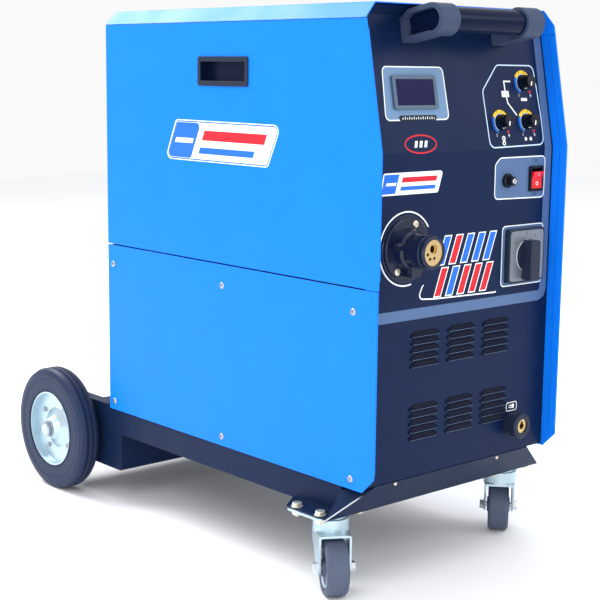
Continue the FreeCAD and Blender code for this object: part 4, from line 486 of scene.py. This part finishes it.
def cutWindow(mesh, low, high):  # takes the ink out of an opening in the panel
    work = bmesh.new()
    work.from_mesh(mesh)
    for spot in (low, high):
        for axis in ((1, 0, 0), (0, 0, 1)):
            parts = work.verts[:] + work.edges[:] + work.faces[:]
            bmesh.ops.bisect_plane(work, geom=parts, plane_co=spot, plane_no=axis)
    inside = [face for face in work.faces
              if all(low[i] < face.calc_center_median()[i] < high[i] for i in (0, 2))]
    bmesh.ops.delete(work, geom=inside, context="FACES")
    work.to_mesh(mesh)
    work.free()


def printInks():
    low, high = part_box("rocker_frame")
    overlap = Vector((2 * mm, 0, 2 * mm))  # the frame covers the ink's edge
    for (ink, body), (points, faces) in inkSheets.items():
        name = f"{ink}_print_{body}"
        mesh = newMesh(name, points, faces, ink)
        if ink == "steelInk":
            cutWindow(mesh, low + overlap, high - overlap)
        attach(newObject(name, mesh), body)


# All prints in mm: x from the middle, heights up the slope from the bend or above the panels' foot.
slopePrints = {
    "meterPlate": (-142.7, -26.5, 42, 110),  # x from, x to, low, high
    "meterTaper": 3,  # drawn in at the top, each side
    "meterEdge": 1.6,
    "stripe": (-119, -50, 41, 48),
    # fine ticks on it: count, first, pitch, width, margin, margin over every other one
    "ticks": (15, 6, 4.1, 1.3, 1.8, 3),
    "ring": (-84.5, 10.8, 28.8, 11.5, 2),  # x, height, half width, half height, line
    "ringBars": (-12.2, -3.2, 5.8),  # a plain mark inside the ring: where each bar starts
    "ringBar": (4.8, 4.2, 2.4),  # width, half height, slant
    "knobField": ([(79.1, 114.2), (155, 114), (158, 88), (161.9, 42.3), (162.3, 4.1),
                   (49.3, 1.9), (45.2, 79.3)], 10),  # corners, rounding
    "knobLine": 1.7,
}


def printSlope():
    sheet = slopePrints
    left, right, low, high = sheet["meterPlate"]
    taper = sheet["meterTaper"]
    plate = [(left, low), (right, low), (right - taper, high), (left + taper, high)]
    printField(slopeInk, "silverInk", roundedLoop(plate, 7), sheet["meterEdge"])
    left, right, low, high = sheet["stripe"]
    slopeInk("blackInk", [roundedLoop(boxLoop(left, right, low, high), 3)], 3)
    count, first, pitch, thick, margin, deep = sheet["ticks"]
    for step in range(count):
        x = left + first + step * pitch
        top = high - (margin if step % 2 else deep)
        slopeInk("whiteInk", [boxLoop(x, x + thick, low + margin, top)], 4)
    x, up, wide, tall, line = sheet["ring"]
    oval = arcLine((x, up), wide, 0, 360, 48, tall / wide)[:-1]
    slopeInk("redInk", strokeLoops(oval, line, True))
    thick, half, slant = sheet["ringBar"]
    for start in sheet["ringBars"]:
        slopeInk("whiteInk", [barLoop(x + start, x + start + thick, up - half, up + half, slant)])
    slopeInk("paleInk", strokeLoops(roundedLoop(*sheet["knobField"]), sheet["knobLine"], True))


dialPrints = {
    # x and height of each knob, and the sign that stands under it
    "dials": [(129.5, 90, "dots"), (75.3, 36, "links"), (129.5, 36, "pair")],
    "ring": (12, 30, 246, 1),  # pale line round the knob: radius, from, to, width
    "scale": 14.9,  # middle of the coloured scale
    # blue part: from, to, width at each end, steps
    "blue": ((152, 184, 4.2, 3.6, 6), (187, 248, 3.6, 1.4, 10)),
    "yellow": ((149, 110, 71), 36, 4.8),  # where the blocks start, their turn and width
    "red": ((15.4, -46), (21, -49), (20, -34)),  # the arrow's corners: radius, turn
    "figures": (("1", 20.2, 240), ("9", 23.4, -52)),  # figure, radius, turn
    "letters": 4.6,
    # signs: x from the knob, drop below it, radius of each disc or ring
    "dots": ((-4.3, 23, 2.3), (0, 23, 2.3), (4.3, 23, 2.3)),
    "pair": ((-5, 23.4, 2.6), (5.6, 23.4, 2.6)),
    "links": ((3, 21.6, 2.5), (3, 28, 2.5)),
    "linkLine": 1.7,
    # a joint between two knobs: lines to them, a small box and the strokes in it
    "upperLine": [(104, 92), (90.5, 92), (91.5, 79)],
    "lowerLine": [(93, 70), (94.4, 62.5), (110.8, 45.5)],
    "lineWidth": 2,
    "box": [(84, 70.5), (99, 70.5), (98, 79), (83.5, 79)],
    "strokes": ((88, 91.6, 95.2), 0.3, 71.8, 77.8),  # middles, half width, low, high
}


def taperLoop(centre, radius, start, end, wide, narrow, steps=16):  # an arc that grows thin
    outer, inner = [], []
    for step in range(steps + 1):
        turn = radians(start + (end - start) * step / steps)
        half = (wide + (narrow - wide) * step / steps) / 2
        ray = Vector((cos(turn), sin(turn)))
        outer.append(Vector(centre) + ray * (radius + half))
        inner.append(Vector(centre) + ray * (radius - half))
    return [(outer[i], outer[i + 1], inner[i + 1], inner[i]) for i in range(steps)]


def arcSpot(centre, radius, turn):  # one point on an arc
    return arcLine(centre, radius, turn, turn, 1)[0]


def printDial(x, up, sign):
    # a pale arc round the knob, a coloured scale outside it and figures at both ends
    sheet, centre = dialPrints, (x, up)
    radius, start, end, width = sheet["ring"]
    slopeInk("paleInk", strokeLoops(arcLine(centre, radius, start, end, 32), width))
    for taper in sheet["blue"]:
        slopeInk("blueInk", taperLoop(centre, sheet["scale"], *taper))
    starts, block, width = sheet["yellow"]
    for start in starts:
        arc = arcLine(centre, sheet["scale"], start, start - block, 8)
        slopeInk("yellowInk", strokeLoops(arc, width))
    slopeInk("redInk", [[arcSpot(centre, *corner) for corner in sheet["red"]]])
    for figure, radius, turn in sheet["figures"]:
        spot = arcSpot(centre, radius, turn)
        slopeInk("whiteInk", letterLoops(figure, spot, sheet["letters"]), 2)
    for aside, drop, radius in sheet[sign]:
        disc = arcLine((x + aside, up - drop), radius, 0, 345, 16)
        linked = strokeLoops(disc, sheet["linkLine"], True)
        slopeInk("whiteInk", linked if sign == "links" else [disc])


def printDials():
    sheet = dialPrints
    for x, up, sign in sheet["dials"]:
        printDial(x, up, sign)
    slopeInk("whiteInk", strokeLoops(sheet["upperLine"], sheet["lineWidth"]))
    slopeInk("whiteInk", [sheet["box"]])
    middles, half, low, high = sheet["strokes"]
    for x in middles:
        slopeInk("blackInk", [boxLoop(x - half, x + half, low, high)], 2)
    slopeInk("whiteInk", strokeLoops(sheet["lowerLine"], sheet["lineWidth"]))


labelPrints = {  # corners and their rounding
    "front": {
        "plate": ([(-152.4, 408.9), (-43.5, 408.9), (-52.3, 380.6), (-157.9, 380.4)], 3.5),
        "end": ([(-150.9, 406.9), (-124, 406.9), (-131.5, 382.5), (-155.6, 382.4)], 0),
        # ink, layer, and x from, x to, low, high and slant of each bar
        "bars": (("whiteInk", 3, (-148.5, -130.5, 392.8, 396.4, 1.2)),
                 ("redInk", 2, (-120, -56, 396.2, 402.8, 2)),
                 ("blueInk", 2, (-122.5, -58.5, 386, 391, 1.6))),
    },
    "side": {  # x runs from the front edge to the rear
        "plate": ([(421.6, 463.9), (187, 463.6), (213.9, 406), (448, 405.9)], 9),
        "line": ([(419, 461.6), (191, 461.3), (215.5, 408.2), (443.6, 408.1)], 7),
        "lineWidth": 1.6,
        "end": ([(418.5, 460), (362, 460), (386, 409.6), (441.8, 409.6)], 6),
        "bars": (("whiteInk", 3, (424, 382, 431, 438, -3.2)),
                 ("redInk", 2, (360, 222, 436, 450, -6.4)),
                 ("blueInk", 2, (368, 246, 417, 426, -4.2))),
    },
}


def printLabel(faceInk, label):
    faceInk("whiteInk", [roundedLoop(*label["plate"])])
    if "line" in label:
        line = roundedLoop(*label["line"])
        faceInk("blueInk", strokeLoops(line, label["lineWidth"], True), 2)
    faceInk("blueInk", [roundedLoop(*label["end"])], 2)
    for ink, layer, bar in label["bars"]:
        faceInk(ink, [barLoop(*bar)], layer)


torchPrints = {
    "ring": ((-109, 310.4), 48, 33, 283),  # centre, radius, from, to
    "ringLine": 2,
    "under": [(-76.8, 259.2), (-84.9, 242.3), (-54, 239.8), (72.7, 236.9)],
    "beyond": [(72.7, 262), (-70, 262)],  # closes the line for its rounding, not printed
    "underPoints": 24,  # of the rounded loop
    "underLine": 1.8,
    "rows": (284, 242),  # foot of each row of bars
    "bars": (-50, 22.5, 5),  # first bar, pitch, how far the lower row is shifted
    "bar": (13, 38, 14),  # width, height, slant
    "edge": 1.5,
}


def printTorchField():
    sheet = torchPrints
    centre, radius, start, end = sheet["ring"]
    frontInk("whiteInk", strokeLoops(arcLine(centre, radius, start, end, 48), sheet["ringLine"]))
    bent = roundedLoop(sheet["under"] + sheet["beyond"], 6)[:sheet["underPoints"]]
    frontInk("whiteInk", strokeLoops(bent, sheet["underLine"]))
    first, pitch, shift = sheet["bars"]
    wide, tall, slant = sheet["bar"]
    for row, low in enumerate(sheet["rows"]):
        for step in range(5):
            start = first + step * pitch - row * shift
            ink = ("blueInk", "redInk")[(step + row) % 2 if step % 3 else row]
            bar = barLoop(start, start + wide, low, low + tall, slant)
            printField(frontInk, ink, bar, sheet["edge"])


switchPrints = {
    "fuseField": ([(70, 421), (59.8, 412.3), (60.1, 365.3), (164.6, 363.5),
                   (165, 421.2)], 7),  # corners, rounding
    "words": (("ON", (144.5, 415)), ("OFF", (143.5, 368))),
    "letters": 4.6,
    "selectorField": (79.3, 166.3, 243, 326.6),
    "selector": (123, 284.8, 37.5),  # x, height, half width of its black surround
    "edge": 1.5,
}


def printSwitches():
    sheet = switchPrints
    printField(frontInk, "steelInk", roundedLoop(*sheet["fuseField"]), sheet["edge"])
    for word, spot in sheet["words"]:
        frontInk("greyInk", letterLoops(word, spot, sheet["letters"]), 2)
    field = roundedLoop(boxLoop(*sheet["selectorField"]), 6)
    printField(frontInk, "steelInk", field, sheet["edge"])
    x, up, half = sheet["selector"]
    surround = roundedLoop(boxLoop(x - half, x + half, up - half, up + half), 3)
    frontInk("blackInk", [surround], 3)


bandPrints = {
    # grey band along the foot of the controls and up the right side
    "foot": [(-181, 223.5), (160, 223.5), (168, 226.5), (171, 234), (171, 433)],
    "slope": [(171, 0), (171, 176)],
    "wide": 14.6,
    "earth": (101, 123, 62.5, 74.5),  # mark above the earth socket
    "earthLine": 1.1,
    # a plug: two pins and its body
    "plug": ((106.5, 113, 66.6, 67.9), (106.5, 113, 69.6, 70.9), (113, 117.5, 65.8, 71.8)),
}


def printBand():
    sheet = bandPrints
    frontInk("steelInk", strokeLoops(sheet["foot"], sheet["wide"]))
    slopeInk("steelInk", strokeLoops(sheet["slope"], sheet["wide"]))
    printField(frontInk, "blackInk", roundedLoop(boxLoop(*sheet["earth"]), 3), sheet["earthLine"])
    for bar in sheet["plug"]:
        frontInk("whiteInk", [boxLoop(*bar)], 2)


printSlope()
printDials()
printLabel(frontInk, labelPrints["front"])
printTorchField()
printSwitches()
printBand()
printLabel(sideInk, labelPrints["side"])

print("stage: small pieces")


def addPiece(name, body, shape, finish, sharp=35.0):
    mesh = newMesh(name, *shape, finish)
    for face in mesh.polygons:
        face.use_smooth = True
    mesh.set_sharp_from_angle(angle=radians(sharp))
    piece = newObject(name, mesh)
    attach(piece, body)
    return piece


def turnShape(shape, profile, centre, axis, steps=32, closed=False):
    # profile: radius and height along the axis; a closed one makes a ring
    axis = Vector(axis).normalized()
    across = axis.orthogonal().normalized()
    beside = axis.cross(across)
    points, faces = shape
    rows = [len(points) + row * steps for row in range(len(profile))]
    for radius, height in profile:
        for step in range(steps):
            turn = 2 * pi * step / steps
            ray = across * cos(turn) + beside * sin(turn)
            points.append(Vector(centre) + (ray * radius + axis * height) * mm)
    for low, high in zip(rows, rows[1:] + (rows[:1] if closed else [])):
        for step in range(steps):
            after = (step + 1) % steps
            faces.append((low + step, low + after, high + after, high + step))
    if not closed:
        faces.append(tuple(rows[0] + step for step in reversed(range(steps))))
        faces.append(tuple(rows[-1] + step for step in range(steps)))


def turnParts(shape, profiles, parts, seat, axis):  # parts: profile name -> steps round it
    for name, steps in parts.items():
        turnShape(shape, profiles[name], seat, axis, steps)


def slabShape(shape, loop, place, low, high):  # a flat outline between two heights
    points, faces = shape
    first, count = len(points), len(loop)
    for lift in (low, high):
        points.extend(place(x, up, lift) for x, up in loop)
    faces.append(tuple(range(first + count, first + 2 * count)))
    for i in range(count):
        after = (i + 1) % count
        faces.append((first + i, first + after, first + count + after, first + count + i))


def framedHole(shape, place, half, hole, low, high, steps=96):  # square plate with a round hole
    points, faces = shape
    first = len(points)
    power = 16  # of the outline's curve: the higher, the sharper its corners
    for step in range(steps):
        turn = 2 * pi * step / steps
        x, up = cos(turn), sin(turn)
        edge = half / (abs(x) ** power + abs(up) ** power) ** (1 / power)
        for reach, lift in ((hole, low), (hole, high), (edge, high), (edge, low)):
            points.append(place(x * reach, up * reach, lift))
    for step in range(steps):
        here, after = first + 4 * step, first + 4 * ((step + 1) % steps)
        for i in range(3):
            faces.append((here + i, here + i + 1, after + i + 1, after + i))


def looseParts(node):  # lowest and highest corners of each separate solid of a CAD node
    work = bmesh.new()
    work.from_mesh(frame["nodes"][node].data)
    bmesh.ops.remove_doubles(work, verts=work.verts, dist=0.001 * mm)
    seen, parts = set(), []
    for start in work.verts:
        todo, corners = [start], []
        while todo:
            vertex = todo.pop()
            if vertex not in seen:
                seen.add(vertex)
                corners.append(vertex.co.copy())
                todo.extend(edge.other_vert(vertex) for edge in vertex.link_edges)
        if corners:
            parts.append(tuple(Vector([pick(corner[i] for corner in corners) for i in range(3)])
                               for pick in (min, max)))
    work.free()
    return parts


def onNode(node, centre, out):  # places points on a node's skin, seen along out
    mesh = frame["nodes"][node].data
    tree = BVHTree.FromPolygons([v.co.copy() for v in mesh.vertices],
                                [tuple(face.vertices) for face in mesh.polygons])
    out = Vector(out).normalized()
    sideways = Vector((0, -1 if out.x < 0 else 1, 0))
    across = Vector((1, 0, 0)) if abs(out.x) < 0.5 else sideways
    upward = out.cross(across)
    away = 200 * mm  # rays start here, clear of every piece

    def place(x, up, lift=0.0):
        start = Vector(centre) + (across * x + upward * up) * mm + out * away
        return tree.ray_cast(start, -out)[0] + out * lift * mm
    return place


joints = {joint["child"]: joint for joint in frame["joints"]}

# Profiles are lists of radius and height in mm, from the seat outwards.
screwSet = {
    "head": 4.8,  # radius
    "tall": 2.2,
    # shares of the radius and of the height
    "profile": [(1, 0), (1, 0.28), (0.92, 0.55), (0.74, 0.8), (0.5, 0.94), (0.22, 1)],
    "recess": (1.15, 5.2, 1.3),  # cross: arm width, across, depth
    "draft": 0.7,  # the recess narrows to this share at its floor
    "turn": 0.9,  # radians from one screw to the next
}


def makeCrossHead():  # pan head with a cross recess, standing on the origin
    radius, tall = screwSet["head"], screwSet["tall"]
    shape = ([], [])
    profile = [(radius * r, tall * h) for r, h in screwSet["profile"]]
    turnShape(shape, profile, (0, 0, 0), (0, 0, 1), 40)
    head = newMesh("head", *shape)
    arm, reach, depth = screwSet["recess"]
    arm, reach, low, high = arm / 2 * mm, reach / 2 * mm, (tall - depth) * mm, (tall + 1) * mm
    outline = [(arm, arm), (reach, arm), (reach, -arm)]
    for corner in range(9):  # each quarter of the cross is the one before, turned
        x, y = outline[corner]
        outline.append((y, -x))
    count, draft = len(outline), screwSet["draft"]
    points = [(x * draft, y * draft, low) for x, y in outline] + [(x, y, high) for x, y in outline]
    walls = [(i, i + count, (i + 1) % count + count, (i + 1) % count) for i in range(count)]
    ends = [tuple(range(count)), tuple(reversed(range(count, 2 * count)))]
    cross = newMesh("cross", points, ends + walls)
    holder, cutter = newObject("head", head), newObject("cross", cross)
    cut = holder.modifiers.new("recess", "BOOLEAN")
    cut.operation = "DIFFERENCE"
    cut.object = cutter
    cut.solver = "EXACT"
    bpy.context.view_layer.update()
    graph = bpy.context.evaluated_depsgraph_get()
    ready = bpy.data.meshes.new_from_object(holder.evaluated_get(graph))
    for item, mesh in ((holder, head), (cutter, cross)):
        bpy.data.objects.remove(item)
        bpy.data.meshes.remove(mesh)
    return ready


def replaceNode(node, pieces):  # name, shape and finish of each piece that stands for the node
    for name, shape, finish, sharp in pieces:
        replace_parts(addPiece(name, "cart", shape, finish, sharp), node)


def addScrews():
    pattern = makeCrossHead()
    corners = [v.co.copy() for v in pattern.vertices]
    sides, flange = ([], []), ([], [])
    for index, (low, high) in enumerate(looseParts("panel_screws")):
        seat, size = (low + high) / 2, high - low
        shape = flange if size.y < size.x else sides
        if shape is flange:  # the torch socket's
            out = Vector((0, -1, 0))
            seat.y = low.y + screwSet["tall"] * mm
        else:
            out = Vector((1 if seat.x > 0 else -1, 0, 0))
            seat.x = (high.x if seat.x > 0 else low.x) - out.x * screwSet["tall"] * mm
        upright = Vector((0, 0, 1)).rotation_difference(out).to_matrix()
        turn = upright @ Matrix.Rotation(index * screwSet["turn"], 3, "Z")
        first = len(shape[0])
        shape[0].extend(seat + turn @ corner for corner in corners)
        shape[1].extend(tuple(first + v for v in face.vertices) for face in pattern.polygons)
    replaceNode("panel_screws", (("screw_heads", sides, "greySteel", 30),
                                 ("flange_screws", flange, "yellowZinc", 30)))


addScrews()

hexSet = {
    "casterTall": 20,  # a caster's bolt is lower than this, an axle nut is taller
    "sunk": 5.5,  # seat of the head below the bolt's top
    "foot": 8,  # seat of the nut above the bolt's lower end
    "washer": [(8.3, 0), (8.3, 0.8), (7.6, 1.2), (6.6, 1.3)],
    "head": [(6.6, 1.2), (7.4, 1.5), (7.4, 4.9), (6.3, 5.5)],
    "crown": [(6.4, 5), (6.3, 5.5), (5.4, 5.7)],
    "nut": [(6.5, 0), (7.4, 0.5), (7.4, 5.4), (6.5, 6)],
    "thread": [(4, 5.5), (4, 7.4), (3.4, 8)],
    "axleWasher": [(14.5, 0), (14.5, 1.5), (14, 2)],
    "axleNut": [(12.6, 2), (13.8, 2.7), (13.8, 6.4), (12, 7.4)],
}


def addHexes():
    # chamfered hexagons with washers: the casters' bolts and the axle's end nuts
    bolts, nuts = ([], []), ([], [])
    for low, high in looseParts("cart_bolts"):
        middle, size = (low + high) / 2, high - low
        if size.x > size.z or size.z < hexSet["casterTall"] * mm:
            foot = Vector((middle.x, middle.y, high.z - hexSet["sunk"] * mm))
            turnParts(bolts, hexSet, {"washer": 36, "head": 6, "crown": 36}, foot, (0, 0, 1))
            foot.z = low.z + hexSet["foot"] * mm
            turnParts(bolts, hexSet, {"nut": 6, "thread": 24}, foot, (0, 0, -1))
        else:
            side = 1 if middle.x > 0 else -1
            foot = Vector((low.x if side > 0 else high.x, middle.y, middle.z))
            turnParts(nuts, hexSet, {"axleWasher": 48, "axleNut": 6}, foot, (side, 0, 0))
    replaceNode("cart_bolts", (("caster_bolts", bolts, "yellowZinc", 35),
                               ("axle_nuts", nuts, "rolledSteel", 35)))


addHexes()

wheelSet = {
    # bolts that hold the two rim halves together
    "bolts": (4, 42, 55, -0.4),  # count, ring radius, degrees of the first, sunk into the rim
    "washer": [(5, 0), (5, 0.9), (4.6, 1.1)],
    "nut": [(3.4, 1), (3.7, 1.4), (3.7, 3.4), (3.2, 3.9)],
    "thread": [(2, 3.5), (2, 4.8), (1.6, 5.2)],
    # raised lip where the tyre grips the rim, and a ring higher on the wall: radius, height
    "rings": ((62, 0.7), (81, 0.3)),
}


def dressWheel(side):
    sign, body = (-1 if side == "left" else 1), f"wheel_{side}"
    centre = Vector(joints[body]["pos_m"])
    skin = onNode(f"rim_{side}", centre, (sign, 0, 0))
    bolts, rings = ([], []), ([], [])
    count, radius, start, sunk = wheelSet["bolts"]
    for step in range(count):
        turn = radians(start + 360 / count * step)
        seat = skin(radius * cos(turn), radius * sin(turn), sunk)
        turnParts(bolts, wheelSet, {"washer": 28, "nut": 6, "thread": 16}, seat, (sign, 0, 0))
    addPiece(f"rim_bolts_{side}", body, bolts, "greySteel")
    low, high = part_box(f"tyre_{side}")
    centre.x = low.x if sign < 0 else high.x
    for radius, tall in wheelSet["rings"]:
        section = [(radius, -1.5), (radius + 0.3, tall), (radius + 1.7, tall), (radius + 2.4, -1.5)]
        turnShape(rings, section, centre, (sign, 0, 0), 96, True)
    addPiece(f"tyre_rings_{side}", body, rings, "tyreRubber")


rollerSet = {  # pale moulded lip and hub on both faces of the roller
    "lip": [(22.5, 11), (24.6, 13.9), (25.6, 14.1), (26.4, 13.6), (26.8, 11)],
    "hub": [(8, 12), (8, 16.4), (10.2, 16.4), (11, 15.6), (11, 12)],
}


def dressRoller(side):
    spot = joints[f"caster_roller_{side}"]
    shape = ([], [])
    for sign in (-1, 1):
        for section in rollerSet.values():
            turnShape(shape, section, spot["pos_m"], Vector(spot["axis"]) * sign, 48, True)
    addPiece(f"roller_hub_{side}", f"caster_roller_{side}", shape, "paleNylon")


for side in ("left", "right"):
    dressWheel(side)
    dressRoller(side)

louvreSet = {
    "top": 219,  # of the blocks, above the panels' foot
    "aside": 110,  # farthest louvre from the middle
    "ahead": 0.3,  # what stands this much ahead of the sheet is a louvre
    "apart": 6,  # lips lie at least this far above each other
    "lip": 0.35,  # height of the painted highlight strip
    "clear": 0.08,  # ahead of the lip, so that the two don't share a face
    # one end of a lip, from the tip inwards: aside, up and back
    "end": ((0.7, 3.6, 2.4), (0.3, 1.2, 0.3), (-0.6, 0.1, 0)),
}
louvreTop = (footUp + louvreSet["top"]) * mm


def addLouvreLips():
    # painted highlight: a pale strip along each lip, where the light catches it
    mesh = frame["nodes"]["front_panel"].data
    near = [v.co for v in mesh.vertices if v.co.z < louvreTop]
    front = min(v.y for v in near)
    ridge = [v for v in near if v.y < front + 0.05 * mm]
    rows = []
    for up in sorted({round(v.z / mm, 2) for v in ridge}):
        if not rows or up - rows[-1] > louvreSet["apart"]:
            rows.append(up)
    shape = ([], [])
    for up in rows:
        ends = sorted({round(v.x / mm, 1) for v in ridge if abs(v.z / mm - up) < 0.06})
        for start, end in zip(ends[::2], ends[1::2]):
            line = [(start - aside, rise, back) for aside, rise, back in louvreSet["end"]]
            line += [(end + aside, rise, back) for aside, rise, back in reversed(louvreSet["end"])]
            first = len(shape[0])
            for x, rise, back in line:
                y = front + (back - louvreSet["clear"]) * mm
                for edge in (0.0, louvreSet["lip"]):
                    shape[0].append(Vector((x * mm, y, (up + rise + edge) * mm)))
            for step in range(len(line) - 1):
                k = first + 2 * step
                shape[1].append((k, k + 2, k + 3, k + 1))
    addPiece("louvre_lips", "cart", shape, "thinCoat")


def shadeFaces(node, finish, isInside):  # gives some faces of a node a darker finish of their own, as painted shade
    mesh = frame["nodes"][node].data
    mesh.materials.append(materials[finish])
    for face in mesh.polygons:
        if isInside(face.center, face.normal):
            face.material_index = len(mesh.materials) - 1


# painted shade: louvre faces that stand ahead of the sheet get the darker coat
def shadeLouvres():
    aside, front = louvreSet["aside"] * mm, frontBack - louvreSet["ahead"]
    shadeFaces("front_panel", "louvrePaintedShade",
           lambda spot, out: spot.z < louvreTop and abs(spot.x) < aside and spot.y / mm < front)


shadeLouvres()
addLouvreLips()

hollowSet = {"arm": (1, 12), "pull": 2}  # mm inside the brackets' ends, behind the pull's bezel


def shadeHollows():  # painted shade: faces inside the handle's arms and the pull get the tube's darker smooth ABS
    near, far = (depth * mm for depth in hollowSet["arm"])
    ends = max(v.co.x for v in frame["nodes"]["handle_brackets"].data.vertices)
    shadeFaces("handle_brackets", "smoothAbs",
           lambda spot, out: abs(out.x) > 0.9 and near < ends - abs(spot.x) < far
           and spot.x * out.x > 0)
    bezel = min(v.co.x for v in frame["nodes"]["door_pull"].data.vertices)
    shadeFaces("door_pull", "smoothAbs",
           lambda spot, out: spot.x - bezel > hollowSet["pull"] * mm)


shadeHollows()

apronSet = {
    "film": 0.12,  # painted highlight strip above the sheet
    "seam": 200,  # square mm, largest face that gets the painted highlight
    "screws": ((-116, 4.5), (88, 5.5)),  # x, below the top edge
    "sunk": -0.2,
    "head": [(2.9, 0), (2.9, 0.6), (2.2, 1.2), (0.9, 1.5)],
}


def addApronHighlights():  # painted highlight: a pale steel strip on the apron's two corners, standing in for the light the folds catch
    shape = ([], [])
    mesh = frame["nodes"]["front_apron"].data
    largest = apronSet["seam"] * mm * mm
    for face in mesh.polygons:
        normal = face.normal
        if abs(normal.x) > 0.6 and normal.y < -0.42 and normal.z > 0.5 and face.area < largest:
            first = len(shape[0])
            shape[0].extend(mesh.vertices[v].co + normal * apronSet["film"] * mm
                            for v in face.vertices)
            shape[1].append(tuple(first + i for i in range(len(face.vertices))))
    addPiece("apron_highlights", "cart", shape, "greySteel")


def addApronScrews():
    low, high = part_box("front_apron")
    skin = onNode("front_apron", (0, low.y, high.z), (0, -1, 0))
    shape = ([], [])
    for x, down in apronSet["screws"]:
        seat = skin(x + 5, -down, apronSet["sunk"])  # beside the screw's hole
        seat.x = x * mm
        turnShape(shape, apronSet["head"], seat, (0, -1, 0.1), 20)
    addPiece("apron_screws", "cart", shape, "yellowZinc")


addApronHighlights()
addApronScrews()

selectorSet = {
    "half": 37.5,  # black base, half width
    "face": 35,  # brushed plate on it
    "hole": 22.8,  # radius
    "proud": (0.1, 8, 8.7),  # foot, plate and front of the plate, ahead of the panel
    "overlap": 0.2,  # plate into the base
    "marks": (("1", 141), ("0", 93), ("2", 58)),
    "markRing": 31,
    "letters": 4.4,
    "grip": -380.25,  # where the grip's round base starts, along Y in the frame
    "ring": [(20, -0.4), (20, 0.8), (22.4, 0.8), (22.4, -1.4)],
}


def addSelectorParts():
    centre = Vector(joints["selector_knob"]["pos_m"])
    centre.y = frontBack * mm

    def place(x, up, lift=0.0):
        return centre + Vector((x, -lift, up)) * mm
    foot, seat, front = selectorSet["proud"]
    hole = selectorSet["hole"]
    base, plate = ([], []), ([], [])
    framedHole(base, place, selectorSet["half"], hole, foot, seat)
    framedHole(plate, place, selectorSet["face"], hole, seat - selectorSet["overlap"], front)
    addPiece("selector_base", "cart", base, "blackAbs", 25)
    addPiece("selector_face", "cart", plate, "brushedAluminium", 25)
    for mark, turn in selectorSet["marks"]:
        loops = letterLoops(mark, arcSpot((0, 0), selectorSet["markRing"], turn),
                            selectorSet["letters"])
        layInk("greyInk", "cart", lambda x, up, lift: place(x, up, front + lift), loops)
    # painted highlight: a pale ring on the knob's disc
    ring, knobFoot = ([], []), centre.copy()
    knobFoot.y = selectorSet["grip"] * mm
    turnShape(ring, selectorSet["ring"], knobFoot, (0, -1, 0), 72, True)
    addPiece("selector_ring", "selector_knob", ring, "paleSteel")


socketLip = [(40.0, 0), (40.0, 1.5), (43.4, 1.5), (44.3, 0.8), (44.3, 0)]  # radius, height


def addSocketLip():  # flange edge of the torch socket, and the gasket under it
    low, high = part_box("torch_socket_housing")
    centre = Vector(((low.x + high.x) / 2, frontBack * mm, (low.z + high.z) / 2))
    lip = ([], [])
    turnShape(lip, socketLip, centre, (0, -1, 0), 96, True)
    addPiece("torch_flange_lip", "cart", lip, "socketNylon")


fuseInsert = {"radius": 3.9, "slot": 10, "turn": 58, "sunk": -0.3, "proud": 0.5}  # mm, degrees


def addFuseInsert():  # nickelled end of the fuse cap, slotted for a coin
    skin = onNode("fuse_cap", joints["fuse_cap"]["pos_m"], (0, -1, 0))
    insert, slot = ([], []), fuseInsert["slot"]
    turn = Matrix.Rotation(radians(fuseInsert["turn"]), 2)
    for side in (0, 180):
        arc = arcLine((0, 0), fuseInsert["radius"], side + slot, side + 180 - slot, 20)
        loop = [tuple(turn @ Vector(point)) for point in arc]
        slabShape(insert, loop, skin, fuseInsert["sunk"], fuseInsert["proud"])
    addPiece("fuse_insert", "fuse_cap", insert, "brightZinc", 25)


doorLip = {
    "over": 6.5,  # below the door's edge
    "behind": 4,  # above it, behind the door's sheet
    "thick": 0.4,
    "sheet": 1.2,  # the lower panel's
    "clear": 0.1,  # gap between the two
    "front": 0.6,  # behind the front edge
    "rear": -371.5,  # along Y in the frame, just ahead of the front panel's face
}


def addDoorLip():  # joggled lip behind the seam, ahead of the front panel
    low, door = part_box("lower_left_panel")[0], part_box("door")[0]
    inner = low.x + doorLip["sheet"] * mm + doorLip["clear"] * mm
    front, rear = low.y + doorLip["front"] * mm, doorLip["rear"] * mm
    top, foot = door.z + doorLip["behind"] * mm, door.z - doorLip["over"] * mm
    shape = ([], [])
    slabShape(shape, [(front, top), (front, foot), (rear, foot), (rear, top)],
              lambda y, z, lift: Vector((inner + lift * mm, y, z)), 0, doorLip["thick"])
    shape[1].append((0, 1, 2, 3))  # its inner face
    addPiece("door_lip", "door", shape, "bluePowderCoat", 25)


buttonPrints = {  # mm from each joint's axis
    "bar": ([(1, 3.6), (1, 8.2)], 1),
    "ring": ((0.4, -6.6), 2.3, 0.8),
    "pointer": ([(-0.2, -0.8), (-2.3, -6.6)], 2),
    "dot": ((-3, -8.5), 0.6),
}


def printButtons():
    sheet = buttonPrints
    rocker = inkOn("rocker_button",
                   onNode("rocker_button", joints["rocker_button"]["pos_m"], (0, -1, 0)))
    rocker("paleInk", strokeLoops(*sheet["bar"]))
    centre, radius, width = sheet["ring"]
    rocker("whiteInk", strokeLoops(arcLine(centre, radius, 0, 342, 20), width, True))
    for knob in ("knob_top", "knob_left", "knob_right"):
        knobInk = inkOn(knob, onNode(knob, joints[knob]["pos_m"], joints[knob]["axis"]))
        knobInk("whiteInk", strokeLoops(*sheet["pointer"]))
        knobInk("whiteInk", [arcLine(*sheet["dot"], 0, 330, 10)])


addSelectorParts()
addSocketLip()
addFuseInsert()
addDoorLip()
printButtons()
printInks()
